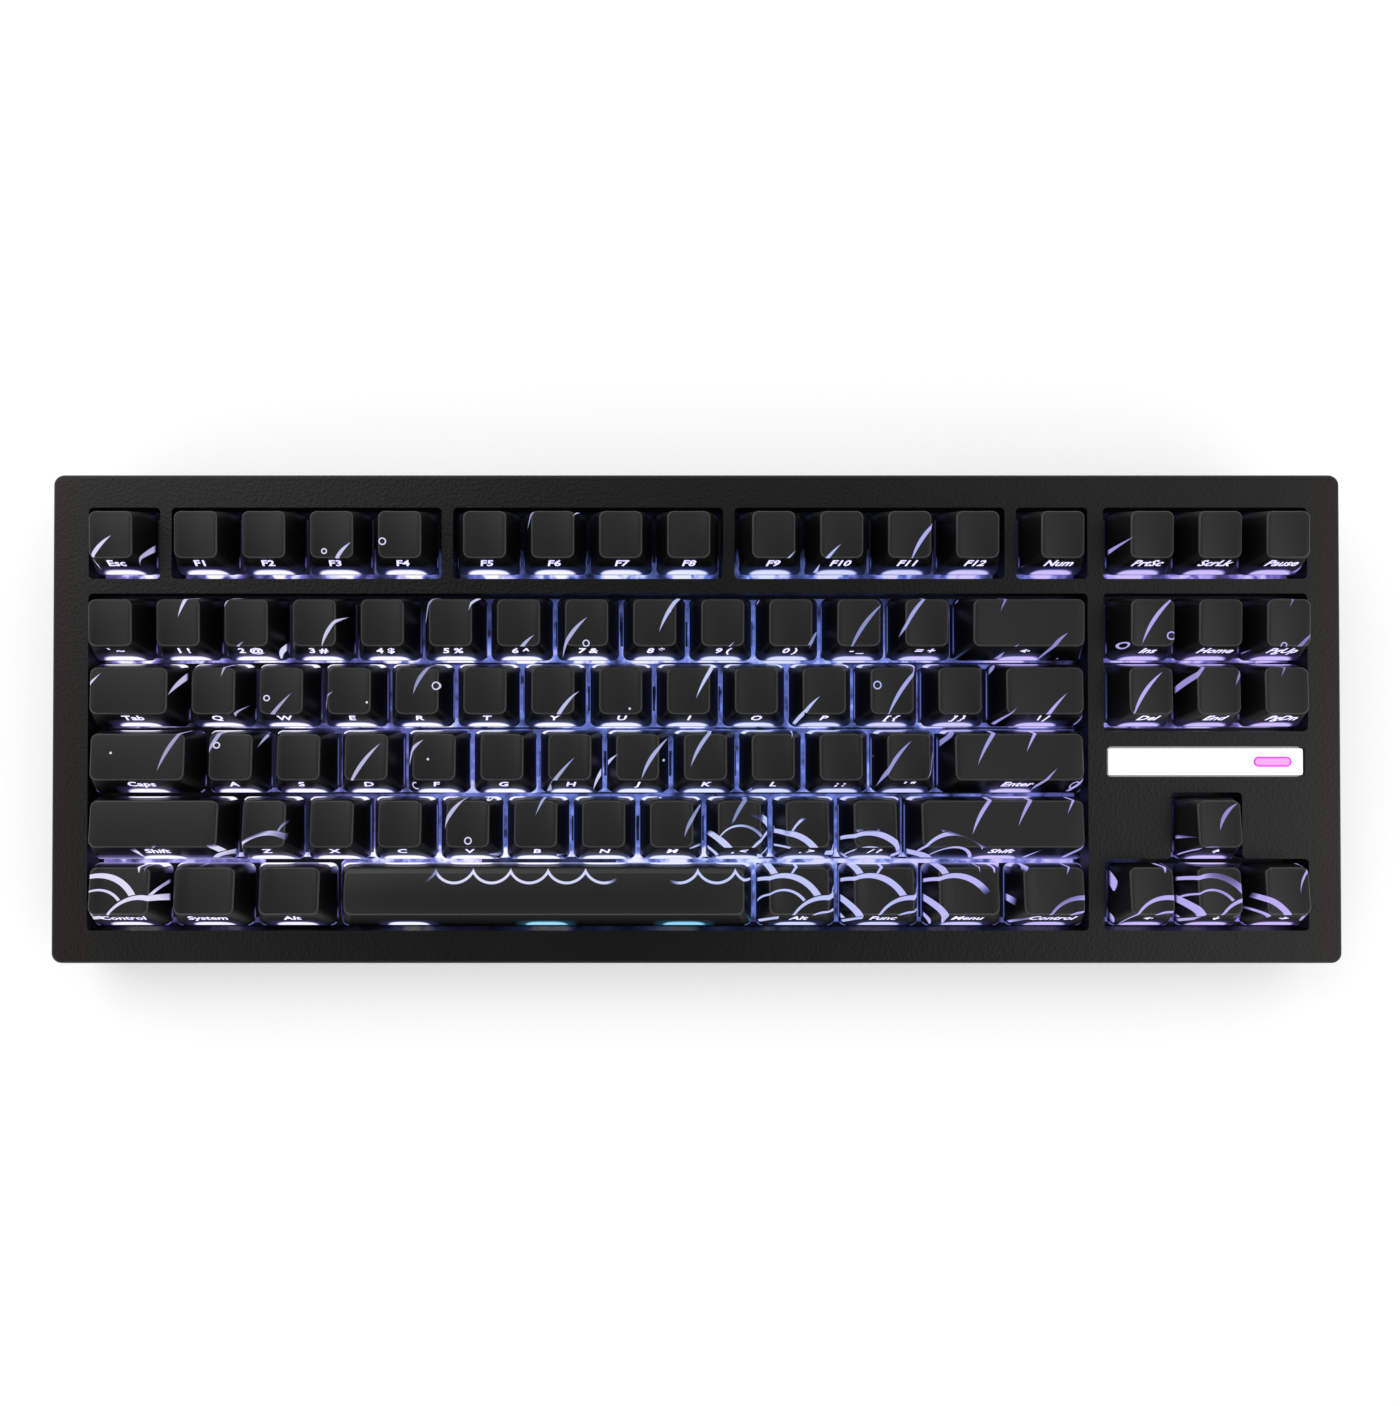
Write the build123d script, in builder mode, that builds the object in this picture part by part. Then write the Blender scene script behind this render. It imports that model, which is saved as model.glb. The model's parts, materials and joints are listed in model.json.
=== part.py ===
from build123d import *
from collections import namedtuple
import math
import os

# A wedge-shaped mechanical keyboard with 88 keys, in millimetres.
# +Z is up and +Y points to the rear. The origin is under the middle of the case, on the desk.
# Most pieces are placed from the deck, the sloping plane of the case's top surface.

# Key field
key_pitch = 19.05
navigation_gap = 6.0
function_gap = 5.7
field_shift = 0.4
window_clearance = 0.75
window_corner = 1.3

# Case shell
typing_angle = 6.0
case_width = 370.5
case_depth = 140.5
case_corner = 3.0
case_wall = 2.4
deck_thickness = 2.2
deck_edge_round = 1.0
bottom_edge_chamfer = 1.0
front_height = 20.5
seam_depth = 10.0
seam_chamfer = 0.3
lip_height = 1.2
lip_thickness = 1.2
lip_clearance = 0.15
lip_corner = 0.3
curb_thickness = 1.6
curb_clearance = 0.8
floor_thickness = 2.2

# Rubber feet, glued into shallow seats in the bottom
foot_pad_height = 1.5
foot_pad_seat = 1.0
foot_pad_width = 30.0
foot_pad_depth = 7.0
foot_pad_spread = 150.0
foot_pad_inset = 9.0
foot_pad_corner = 2.5
foot_pad_play = 0.15

# Plate, circuit board and what lies between them
plate_depth = 7.7
plate_thickness = 1.5
plate_width = 361.0
plate_length = 131.6
plate_corner = 2.0
board_depth = 5.0
board_thickness = 1.6
board_width = 351.0
board_length = 121.6
foam_play = 0.2
foam_cutout = 15.2
foam_sheet = 1.5
foam_sheet_width = 310.0
foam_sheet_depth = 64.0
foam_sheet_setback = 14.0
sheet_corner = 4.0

# Gasket pads that hold the plate between the case halves
pad_thickness = 2.0
pad_length = 14.0
pad_width = 3.2
pad_gap = 0.25
pad_columns = (-150.0, -90.0, -30.0, 30.0, 90.0, 150.0)
side_pad_line = 178.8
side_pad_spread = 30.0
side_pad_width = 3.2

# Case screws
screw_columns = (-179.0, -60.0, 60.0, 179.0)
screw_line = 64.0
screw_diameter = 2.5
screw_length = 8.0
screw_head_diameter = 5.0
screw_head_height = 1.8
screw_socket_width = 2.2
screw_socket_depth = 0.9
screw_seat_depth = 16.6
screw_play = 0.2
boss_diameter = 6.0
boss_end_depth = 12.4
boss_notch_play = 0.4
boss_pilot_roof = 1.0
screw_tube_diameter = 8.0
screw_tube_depth = 15.6

# Switches, measured from the top of the plate
key_travel = 4.0
switch_body = 13.9
switch_cutout = 14.0
switch_flange = 15.6
flange_height = 1.0
cover_base = 14.6
cover_top_width = 10.4
cover_top_depth = 9.0
cover_height = 6.6
cover_wall = 0.9
cover_roof = 1.0
slider_width = 8.0
slider_depth = 5.6
slider_bottom = 0.4
slider_top = 5.2
neck_width = 6.4
neck_top = 6.9
cross_top = 10.2
cross_span = 4.0
cross_bar_across = 1.1
cross_bar_along = 1.3
running_gap = 0.3
switch_floor_depth = 4.0
guide_post_diameter = 4.0
guide_post_length = 3.0
guide_bore_diameter = 3.0
guide_bore_depth = 7.4
pole_diameter = 2.4
pole_bottom = -2.9
spring_chamber = 4.8
spring_chamber_top = 4.1
spring_radius = 1.75
spring_wire = 0.24
spring_pitch = 1.9
spring_end_gap = 0.2
contact_places = ((-3.81, 5.08), (2.54, 5.08))
contact_width = 1.5
contact_thickness = 0.5
contact_play = 0.15
contact_top = 0.8
contact_tail = 1.7
led_setback = 5.2
led_width = 3.2
led_depth = 2.8
led_height = 1.2
led_play = 1.0
hole_play = 0.4

# Keycaps, measured from the top of the plate
cap_skirt = 6.2
cap_gap = 1.05
cap_taper = 6.2
cap_top_depth = 13.0
cap_wall = 1.2
cap_roof = 2.0
cap_base_corner = 0.8
cap_top_corner = 2.2
cap_dish = 0.6
cap_post_diameter = 5.5
cap_post_bottom = 7.0
cap_post_sink = 0.8
cap_socket_play = 0.05
space_crown = 24.0
space_extra_height = 0.5

# Height above the skirt, top tilt in degrees and rearward shift of the top, for each row
CapShape = namedtuple("CapShape", "height tilt shift")
cap_shapes = {
    "function": CapShape(9.4, 1.0, 1.25),
    "number": CapShape(9.4, 1.0, 1.25),
    "top": CapShape(8.4, -2.0, 1.3),
    "home": CapShape(8.1, -4.0, 1.8),
    "shift": CapShape(8.4, -6.0, 2.1),
    "bottom": CapShape(8.4, -6.0, 2.4),
}

# Stabilizers under the wide keys
stabilized_from = 2.0
stabilizer_spread = 11.94
space_stabilizer_spread = 50.0
space_units = 6.25
stabilizer_width = 7.6
stabilizer_depth = 8.8
stabilizer_top = 5.0
stabilizer_foot_end = 10.3
stabilizer_foot_top = -1.8
stabilizer_plate_play = 0.2
stabilizer_stem = 5.6
stabilizer_stem_bottom = -0.7
stabilizer_stem_top = 5.7
wire_diameter = 1.6
wire_play = 0.35
wire_bend = 1.6
wire_axis_y = 8.6
wire_axis_z = -2.9
wire_arm = 10.1
hook_front = 2.0
hook_lip = 0.5
hook_lip_end = 0.3

# Light bar between the navigation keys and the arrow keys
bar_window_width = 57.0
bar_window_depth = 8.8
bar_play = 0.55
bar_recess = 0.3
bar_flange = 1.2
bar_flange_height = 1.2
bar_guide_width = 50.0
bar_guide_depth = 6.0
bar_guide_end = 11.0
bar_guide_play = 0.6
bar_led_count = 6
bar_led_pitch = 8.0
pill_width = 11.0
pill_depth = 3.0
pill_offset = 19.3
pill_sink = 1.5
pill_play = 0.1

# USB socket in the rear wall
usb_place = -122.0
socket_width = 9.0
socket_height = 3.2
socket_length = 7.4
socket_corner = 1.55
socket_play = 0.2
socket_shell = 0.35
socket_back = 0.8
tongue_width = 6.7
tongue_thickness = 0.7
tongue_setback = 0.8
port_width = 13.0
port_height = 7.5
port_depth = 4.6
port_corner = 2.0
port_wall = 1.6
port_floor = 1.4
board_tab_width = 16.0
board_tab_gap = 0.4

# Controller chips under the circuit board: across, rearward, width, depth, height
Chip = namedtuple("Chip", "x y width depth height")
chips = (
    Chip(-100.0, 38.1, 9.0, 9.0, 1.2),
    Chip(-76.0, 38.1, 5.0, 6.0, 1.5),
    Chip(-10.0, 38.1, 7.0, 7.0, 1.0),
    Chip(84.0, 38.1, 7.0, 7.0, 1.0),
)

# Flip feet under the rear of the case
flip_spread = 150.0
flip_width = 20.0
flip_length = 26.0
flip_setback = 17.0
flip_thickness = 3.3
flip_recess = 0.2
flip_barrel_radius = 2.6
flip_axis_rise = 2.9
flip_play = 0.4
flip_rear_play = 0.9
flip_roof_play = 0.5
flip_pin_diameter = 3.0
flip_pin_length = 2.0
flip_pin_play = 0.25
flip_pocket_wall = 2.6
flip_pocket_roof = 1.5
flip_finger_notch = 5.0
flip_tip_round = 1.2
flip_grooves = 3
flip_groove_inset = 3.0
flip_groove_pitch = 2.0
flip_groove_width = 0.8
flip_groove_depth = 0.4
flip_groove_margin = 2.0

# Key layout: each group is (node, key widths), and a bare number is a gap, all in key pitches
main_rows = {
    "bottom": [("key_left_ctrl", [1.25]), ("key_left_sys", [1.25]), ("key_left_alt", [1.25]),
               ("key_space", [space_units]), ("key_right_alt", [1.25]), ("key_fn", [1.25]),
               ("key_menu", [1.25]), ("key_right_ctrl", [1.25])],
    "shift": [("key_left_shift", [2.25]), ("keys_lower_row", [1] * 10), ("key_right_shift", [2.75])],
    "home": [("key_caps", [1.75]), ("keys_home_row", [1] * 11), ("key_enter", [2.25])],
    "top": [("key_tab", [1.5]), ("keys_upper_row", [1] * 12), ("key_backslash", [1.5])],
    "number": [("keys_number_row", [1] * 13), ("key_backspace", [2])],
    "function": [("key_esc", [1]), 0.25, ("keys_f1_f4", [1] * 4), 0.25, ("keys_f5_f8", [1] * 4), 0.25,
                 ("keys_f9_f12", [1] * 4), 0.25, ("key_num", [1])],
}
navigation_rows = {
    "bottom": [("key_arrow_left", [1]), ("key_arrow_down", [1]), ("key_arrow_right", [1])],
    "shift": [1, ("key_arrow_up", [1])],
    "top": [("keys_delete_end_page_down", [1] * 3)],
    "number": [("keys_insert_home_page_up", [1] * 3)],
    "function": [("key_print_screen", [1]), ("key_scroll_lock", [1]), ("key_pause", [1])],
}
row_order = list(main_rows)
main_units = 15
navigation_units = 3

# Windows in the deck: first key column, columns, front row, rows
Window = namedtuple("Window", "start columns row rows")
main_windows = [
    Window(0, 15, "bottom", 5), Window(0, 1, "function", 1), Window(1.25, 4, "function", 1),
    Window(5.5, 4, "function", 1), Window(9.75, 4, "function", 1), Window(14, 1, "function", 1),
]
navigation_windows = [
    Window(0, 3, "function", 1), Window(0, 3, "top", 2),
    Window(1, 1, "shift", 1), Window(0, 3, "bottom", 1),
]

# Places worked out from the sizes above
field_width = (main_units + navigation_units) * key_pitch + navigation_gap
field_depth = len(row_order) * key_pitch + function_gap
main_left = field_shift - field_width / 2
navigation_left = main_left + main_units * key_pitch + navigation_gap
navigation_centre = navigation_left + navigation_units * key_pitch / 2


def row_centre(row):
    gap = function_gap if row == "function" else 0
    return (row_order.index(row) + 0.5) * key_pitch + gap - field_depth / 2


Key = namedtuple("Key", "node row width x y")


def place_keys(rows, left):
    placed = []
    for row, groups in rows.items():
        column = 0
        for group in groups:
            if isinstance(group, (int, float)):
                column += group
                continue
            node, widths = group
            for width in widths:
                x = left + (column + width / 2) * key_pitch
                placed.append(Key(node, row, width, x, row_centre(row)))
                column += width
    return placed


keys = place_keys(main_rows, main_left) + place_keys(navigation_rows, navigation_left)
key_places = [(key.x, key.y) for key in keys]
key_nodes = list(dict.fromkeys(key.node for key in keys))
wide_keys = [key for key in keys if key.width >= stabilized_from]


def stabilizer_offset(width):
    return space_stabilizer_spread if width == space_units else stabilizer_spread


def window_centre(window, left):
    x = left + (window.start + window.columns / 2) * key_pitch
    y = row_centre(window.row) + (window.rows - 1) * key_pitch / 2
    return x, y


# The deck plane. Its origin is set so that the case's outline is centred over the origin.
slope = math.radians(typing_angle)
half_depth = case_depth / 2
deck_rise = front_height + half_depth * math.sin(slope)


def deck_height_over(y_along, z_level):
    return (deck_rise + y_along * math.sin(slope) - z_level) / math.cos(slope)


rear_wall_depth = deck_height_over(half_depth, foot_pad_height) - bottom_edge_chamfer
rear_reach = half_depth * math.cos(slope) + rear_wall_depth * math.sin(slope)
front_reach = (half_depth - deck_edge_round) * math.cos(slope) - deck_edge_round * math.sin(slope)
front_reach += deck_edge_round
deck_shift = (front_reach - rear_reach) / 2
deck = Plane(
    origin=(0, deck_shift, deck_rise),
    x_dir=(1, 0, 0),
    z_dir=(0, -math.sin(slope), math.cos(slope)),
)
deck_up = Axis(deck.origin, deck.z_dir)
plate_top = deck.offset(-plate_depth)
plate_under = plate_top.offset(-plate_thickness)
board_top = plate_top.offset(-board_depth)
board_under = board_top.offset(-board_thickness)
board_under_depth = plate_depth + board_depth + board_thickness
seam = deck.offset(-seam_depth)
bottom_level = foot_pad_height
floor_level = bottom_level + floor_thickness
below_everything = 60.0
bottom_front = deck_shift - half_depth * math.cos(slope)
bottom_front += deck_height_over(-half_depth, bottom_level) * math.sin(slope)
bottom_rear = deck_shift + half_depth * math.cos(slope)
bottom_rear += deck_height_over(half_depth, bottom_level) * math.sin(slope)

inner_width = case_width - 2 * case_wall
inner_depth = case_depth - 2 * case_wall
inner_corner = case_corner - case_wall
screw_places = [(x, y) for x in screw_columns for y in (-screw_line, screw_line)]
pad_line = field_depth / 2 + window_clearance + curb_thickness + pad_gap + pad_width / 2
long_pad_places = [(x, y) for x in pad_columns for y in (-pad_line, pad_line)]
side_pad_places = [
    (x, y) for x in (-side_pad_line, side_pad_line) for y in (-side_pad_spread, side_pad_spread)
]
bar_place = (navigation_centre, row_centre("home"))
pill_place = (bar_place[0] + pill_offset, bar_place[1])
led_places = [(x, y - led_setback) for x, y in key_places]
foot_pad_lines = (bottom_front + foot_pad_inset, bottom_rear - foot_pad_inset)
foot_pad_places = [(x, y) for x in (-foot_pad_spread, foot_pad_spread) for y in foot_pad_lines]
flip_axis_y = bottom_rear - flip_setback
flip_axis_z = bottom_level + flip_axis_rise
usb_depth = board_under_depth + socket_height / 2
port_floor_front = half_depth - port_depth - port_floor
socket_rear = half_depth - port_depth


def rear_facing(rearward, depth):
    # A plane that looks to the rear, square to the deck, over the USB socket
    spot = deck.from_local_coords(Vector(usb_place, rearward, -depth))
    return Plane(origin=spot, x_dir=(-1, 0, 0), z_dir=deck.y_dir)


os.makedirs("parts", exist_ok=True)


def save(builder, node):
    builder.part.label = node
    export_step(builder.part, f"parts/{node}.step")


# Case top: deck with its windows, outer wall, curbs round the windows, screw bosses and pad ribs
with BuildPart() as case_top:
    with BuildSketch(deck):
        RectangleRounded(case_width, case_depth, case_corner)
    extrude(amount=-seam_depth)
    fillet(case_top.faces().sort_by(deck_up)[-1].edges(), deck_edge_round)
    # A fine groove shows where the two halves meet
    chamfer(case_top.faces().sort_by(deck_up)[0].edges(), seam_chamfer)
    with BuildSketch(deck.offset(-deck_thickness)):
        RectangleRounded(inner_width, inner_depth, inner_corner)
    extrude(amount=-seam_depth, mode=Mode.SUBTRACT)
    with BuildSketch(deck.offset(-deck_thickness)):
        for windows, left in ((main_windows, main_left), (navigation_windows, navigation_left)):
            for window in windows:
                with Locations(window_centre(window, left)):
                    Rectangle(
                        window.columns * key_pitch + 2 * (window_clearance + curb_thickness),
                        window.rows * key_pitch + 2 * (window_clearance + curb_thickness),
                    )
    extrude(amount=-(plate_depth - curb_clearance - deck_thickness))
    with BuildSketch(deck.offset(-deck_thickness)):
        with Locations(*screw_places):
            Circle(boss_diameter / 2)
    extrude(amount=-(boss_end_depth - deck_thickness))
    with BuildSketch(deck.offset(-deck_thickness)):
        with Locations(*long_pad_places):
            Rectangle(pad_length, pad_width)
        with Locations(*side_pad_places):
            Rectangle(side_pad_width, pad_length)
    extrude(amount=-(plate_depth - pad_thickness - deck_thickness))
    with BuildSketch(deck) as deck_windows:
        for windows, left in ((main_windows, main_left), (navigation_windows, navigation_left)):
            for window in windows:
                with Locations(window_centre(window, left)):
                    Rectangle(
                        window.columns * key_pitch + 2 * window_clearance,
                        window.rows * key_pitch + 2 * window_clearance,
                    )
        with Locations(bar_place):
            Rectangle(bar_window_width, bar_window_depth)
        fillet(deck_windows.vertices(), window_corner)
    extrude(amount=-seam_depth, mode=Mode.SUBTRACT)
    with BuildSketch(deck.offset(-boss_end_depth)):
        with Locations(*screw_places):
            Circle(screw_diameter / 2 + screw_play / 2)
    extrude(amount=boss_end_depth - deck_thickness - boss_pilot_roof, mode=Mode.SUBTRACT)
save(case_top, "case_top")

# Inner solids for the case bottom, cut off level with the desk
with BuildPart() as case_hollow:
    with BuildSketch(seam):
        RectangleRounded(inner_width, inner_depth, inner_corner)
    extrude(amount=-below_everything)
    split(bisect_by=Plane.XY.offset(floor_level), keep=Keep.TOP)

# The ribs and tubes reach down through the floor, so that they join it
with BuildPart() as case_supports:
    with BuildSketch(deck.offset(-(plate_depth + plate_thickness + pad_thickness))):
        for x, y in long_pad_places:
            wall_side = math.copysign(inner_depth / 2 + 1, y)
            near_side = y - math.copysign(pad_width / 2, y)
            with Locations((x, (wall_side + near_side) / 2)):
                Rectangle(pad_length, abs(wall_side - near_side))
        for x, y in side_pad_places:
            wall_side = math.copysign(inner_width / 2 + 1, x)
            near_side = x - math.copysign(side_pad_width / 2, x)
            with Locations(((wall_side + near_side) / 2, y)):
                Rectangle(abs(wall_side - near_side), pad_length)
    extrude(amount=-below_everything)
    with BuildSketch(deck.offset(-boss_end_depth)):
        with Locations(*screw_places):
            Circle(boss_diameter / 2)
    extrude(amount=-below_everything)
    with BuildSketch(deck.offset(-screw_tube_depth)):
        with Locations(*screw_places):
            Circle(screw_tube_diameter / 2)
    extrude(amount=-below_everything)
    split(bisect_by=Plane.XY.offset(bottom_level), keep=Keep.TOP)

# Case bottom: wedge-shaped tray with the USB port, the flip foot pockets and the foot pad seats
flip_pocket_front = flip_axis_y - flip_length - flip_play
flip_pocket_rear = flip_axis_y + flip_barrel_radius + flip_rear_play
flip_pocket_length = flip_pocket_rear - flip_pocket_front
flip_pocket_centre = (flip_pocket_rear + flip_pocket_front) / 2
flip_pocket_width = flip_width + 2 * flip_play
flip_pocket_top = flip_axis_z + flip_barrel_radius + flip_roof_play
flip_pocket_places = [(x, flip_pocket_centre) for x in (-flip_spread, flip_spread)]

with BuildPart() as case_bottom:
    with BuildSketch(seam):
        RectangleRounded(case_width, case_depth, case_corner)
    extrude(amount=-below_everything)
    split(bisect_by=Plane.XY.offset(bottom_level), keep=Keep.TOP)
    chamfer(case_bottom.faces().sort_by(Axis.Z)[0].edges(), bottom_edge_chamfer)
    add(case_hollow.part, mode=Mode.SUBTRACT)
    add(case_supports.part)
    # Lip that centres the top half
    with BuildSketch(seam):
        RectangleRounded(inner_width, inner_depth, inner_corner)
        lip_inset = 2 * lip_thickness
        RectangleRounded(inner_width - lip_inset, inner_depth - lip_inset, lip_corner, mode=Mode.SUBTRACT)
        with Locations(*screw_places):
            Circle(boss_diameter / 2 + screw_play, mode=Mode.SUBTRACT)
    extrude(amount=-lip_height)
    with BuildSketch(seam):
        lip_play = 2 * lip_clearance
        RectangleRounded(inner_width - lip_play, inner_depth - lip_play, inner_corner)
        RectangleRounded(inner_width - lip_inset, inner_depth - lip_inset, lip_corner, mode=Mode.SUBTRACT)
        with Locations(*screw_places):
            Circle(boss_diameter / 2 + screw_play, mode=Mode.SUBTRACT)
    extrude(amount=lip_height)
    # Screw holes with deep counterbores
    with BuildSketch(deck.offset(-boss_end_depth)):
        with Locations(*screw_places):
            Circle(screw_diameter / 2 + screw_play)
    extrude(amount=-below_everything, mode=Mode.SUBTRACT)
    with BuildSketch(deck.offset(-screw_seat_depth)):
        with Locations(*screw_places):
            Circle(screw_head_diameter / 2 + screw_play)
    extrude(amount=-below_everything, mode=Mode.SUBTRACT)
    # USB port: a boss inside the rear wall, the recess for the plug and the hole for the socket
    with BuildSketch(rear_facing(port_floor_front, usb_depth)):
        RectangleRounded(port_width + 2 * port_wall, port_height + 2 * port_wall, port_corner)
    extrude(amount=half_depth - case_wall / 2 - port_floor_front)
    with BuildSketch(rear_facing(socket_rear, usb_depth)):
        RectangleRounded(port_width, port_height, port_corner)
    extrude(amount=port_depth + 1, mode=Mode.SUBTRACT)
    with BuildSketch(rear_facing(port_floor_front - 1, usb_depth)):
        RectangleRounded(
            socket_width + 2 * socket_play, socket_height + 2 * socket_play, socket_corner + socket_play
        )
    extrude(amount=port_floor + 2, mode=Mode.SUBTRACT)
    # Flip foot pockets
    with BuildSketch(Plane.XY.offset(bottom_level)):
        with Locations(*flip_pocket_places):
            Rectangle(flip_pocket_width + 2 * flip_pocket_wall, flip_pocket_length + 2 * flip_pocket_wall)
    extrude(amount=flip_pocket_top + flip_pocket_roof - bottom_level)
    with BuildSketch(Plane.XY.offset(bottom_level)):
        with Locations(*flip_pocket_places):
            Rectangle(flip_pocket_width, flip_pocket_length)
    extrude(amount=flip_pocket_top - bottom_level, mode=Mode.SUBTRACT)
    with BuildSketch(Plane.XY.offset(bottom_level)):
        with Locations(*[(x, flip_pocket_front) for x in (-flip_spread, flip_spread)]):
            Circle(flip_finger_notch)
    extrude(amount=floor_thickness / 2, mode=Mode.SUBTRACT)
    for side in (-flip_spread, flip_spread):
        pin_reach = flip_pocket_width + 2 * flip_pin_length
        with BuildSketch(Plane(origin=(side - pin_reach / 2, flip_axis_y, flip_axis_z), z_dir=(1, 0, 0))):
            Circle(flip_pin_diameter / 2 + flip_pin_play)
        extrude(amount=pin_reach, mode=Mode.SUBTRACT)
    # Seats for the rubber feet
    with BuildSketch(Plane.XY.offset(bottom_level)):
        with Locations(*foot_pad_places):
            RectangleRounded(
                foot_pad_width + 2 * foot_pad_play, foot_pad_depth + 2 * foot_pad_play, foot_pad_corner
            )
    extrude(amount=foot_pad_seat, mode=Mode.SUBTRACT)
save(case_bottom, "case_bottom")

with BuildPart() as rubber_feet:
    with BuildSketch():
        with Locations(*foot_pad_places):
            RectangleRounded(foot_pad_width, foot_pad_depth, foot_pad_corner)
    extrude(amount=foot_pad_height + foot_pad_seat)
save(rubber_feet, "rubber_feet")

# Case screws, driven from below
with BuildPart() as case_screws:
    with BuildSketch(deck.offset(-screw_seat_depth)):
        with Locations(*screw_places):
            Circle(screw_head_diameter / 2)
    extrude(amount=-screw_head_height)
    with BuildSketch(deck.offset(-screw_seat_depth)):
        with Locations(*screw_places):
            Circle(screw_diameter / 2)
    extrude(amount=screw_length)
    with BuildSketch(deck.offset(-(screw_seat_depth + screw_head_height))):
        with Locations(*screw_places):
            RegularPolygon(screw_socket_width / 2, 6)
    extrude(amount=screw_socket_depth, mode=Mode.SUBTRACT)
save(case_screws, "case_screws")

# Steel plate that the switches clip into
stabilizer_places = [
    (key.x + side * stabilizer_offset(key.width), key.y) for key in wide_keys for side in (-1, 1)
]
slot_front = -(stabilizer_depth / 2 + stabilizer_plate_play)
slot_rear = wire_axis_y + running_gap
slot_depth = slot_rear - slot_front
slot_places = [(x, y + (slot_rear + slot_front) / 2) for x, y in stabilizer_places]

with BuildPart() as switch_plate:
    with BuildSketch(plate_top):
        RectangleRounded(plate_width, plate_length, plate_corner)
        with Locations(*key_places):
            Rectangle(switch_cutout, switch_cutout, mode=Mode.SUBTRACT)
        with Locations(*slot_places):
            Rectangle(stabilizer_width + 2 * stabilizer_plate_play, slot_depth, mode=Mode.SUBTRACT)
        with Locations(bar_place):
            guide_hole = 2 * bar_guide_play
            Rectangle(bar_guide_width + guide_hole, bar_guide_depth + guide_hole, mode=Mode.SUBTRACT)
        with Locations(*screw_places):
            Circle(boss_diameter / 2 + boss_notch_play, mode=Mode.SUBTRACT)
    extrude(amount=-plate_thickness)
save(switch_plate, "switch_plate")

# Sound foam between the plate and the circuit board, open round the stabilizer wires
with BuildPart() as plate_foam:
    with BuildSketch(plate_under.offset(-foam_play)):
        RectangleRounded(board_width, board_length, plate_corner)
        with Locations(*key_places):
            Rectangle(foam_cutout, foam_cutout, mode=Mode.SUBTRACT)
        for key in wide_keys:
            reach = stabilizer_offset(key.width) + stabilizer_width / 2 + foam_play
            foam_front = slot_front - foam_play
            foam_rear = stabilizer_foot_end + foam_play
            with Locations((key.x, key.y + (foam_rear + foam_front) / 2)):
                Rectangle(2 * reach, foam_rear - foam_front, mode=Mode.SUBTRACT)
        with Locations(bar_place):
            Rectangle(bar_guide_width + guide_hole, bar_guide_depth + guide_hole, mode=Mode.SUBTRACT)
    extrude(amount=-(board_depth - plate_thickness - 2 * foam_play))
save(plate_foam, "plate_foam")

with BuildPart() as circuit_board:
    with BuildSketch(board_top):
        RectangleRounded(board_width, board_length, plate_corner)
        tab_end = port_floor_front - board_tab_gap
        with Locations((usb_place, tab_end / 2)):
            Rectangle(board_tab_width, tab_end)
        with Locations(*key_places):
            Circle(guide_post_diameter / 2 + hole_play / 2, mode=Mode.SUBTRACT)
        for contact_x, contact_y in contact_places:
            with Locations(*[(x + contact_x, y + contact_y) for x, y in key_places]):
                Circle(contact_width / 2 + contact_play, mode=Mode.SUBTRACT)
    extrude(amount=-board_thickness)
save(circuit_board, "circuit_board")

# Foam sheet on the floor of the case
with BuildPart() as case_foam:
    with BuildSketch(Plane.XY.offset(floor_level)):
        with Locations((0, bottom_front + foam_sheet_setback + foam_sheet_depth / 2)):
            RectangleRounded(foam_sheet_width, foam_sheet_depth, sheet_corner)
    extrude(amount=foam_sheet)
save(case_foam, "case_foam")

with BuildPart() as gasket_pads:
    for level in (plate_top, plate_under.offset(-pad_thickness)):
        with BuildSketch(level):
            with Locations(*long_pad_places):
                Rectangle(pad_length, pad_width)
            with Locations(*side_pad_places):
                Rectangle(side_pad_width, pad_length)
        extrude(amount=pad_thickness)
save(gasket_pads, "gasket_pads")


def copy_to_keys(piece, node, places=key_places):
    # One solid for each place, on the plate
    with BuildPart(plate_top) as copies:
        with Locations(*places):
            add(piece.part)
    save(copies, node)


# Lower switch housing, with its guide post, contact slots and the notch for the key light
with BuildPart() as switch_lower:
    with BuildSketch(Plane.XY.offset(-board_depth)):
        Rectangle(switch_body, switch_body)
    extrude(amount=board_depth)
    with BuildSketch():
        Rectangle(switch_flange, switch_flange)
    extrude(amount=flange_height)
    with BuildSketch(Plane.XY.offset(-board_depth)):
        Circle(guide_post_diameter / 2)
    extrude(amount=-guide_post_length)
    with BuildSketch(Plane.XY.offset(-switch_floor_depth)):
        Rectangle(slider_width + 2 * running_gap, slider_depth + 2 * running_gap)
    extrude(amount=switch_floor_depth + flange_height, mode=Mode.SUBTRACT)
    with BuildSketch(Plane.XY.offset(-guide_bore_depth)):
        Circle(guide_bore_diameter / 2)
    extrude(amount=guide_bore_depth, mode=Mode.SUBTRACT)
    with BuildSketch(Plane.XY.offset(-board_depth)):
        with Locations((0, -led_setback)):
            Rectangle(led_width + 2 * led_play, led_depth + 2 * running_gap)
        with Locations(*contact_places):
            Rectangle(contact_width + 2 * contact_play, contact_thickness + 2 * contact_play)
    extrude(amount=board_depth + flange_height, mode=Mode.SUBTRACT)
copy_to_keys(switch_lower, "switch_lower_housings")

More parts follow.
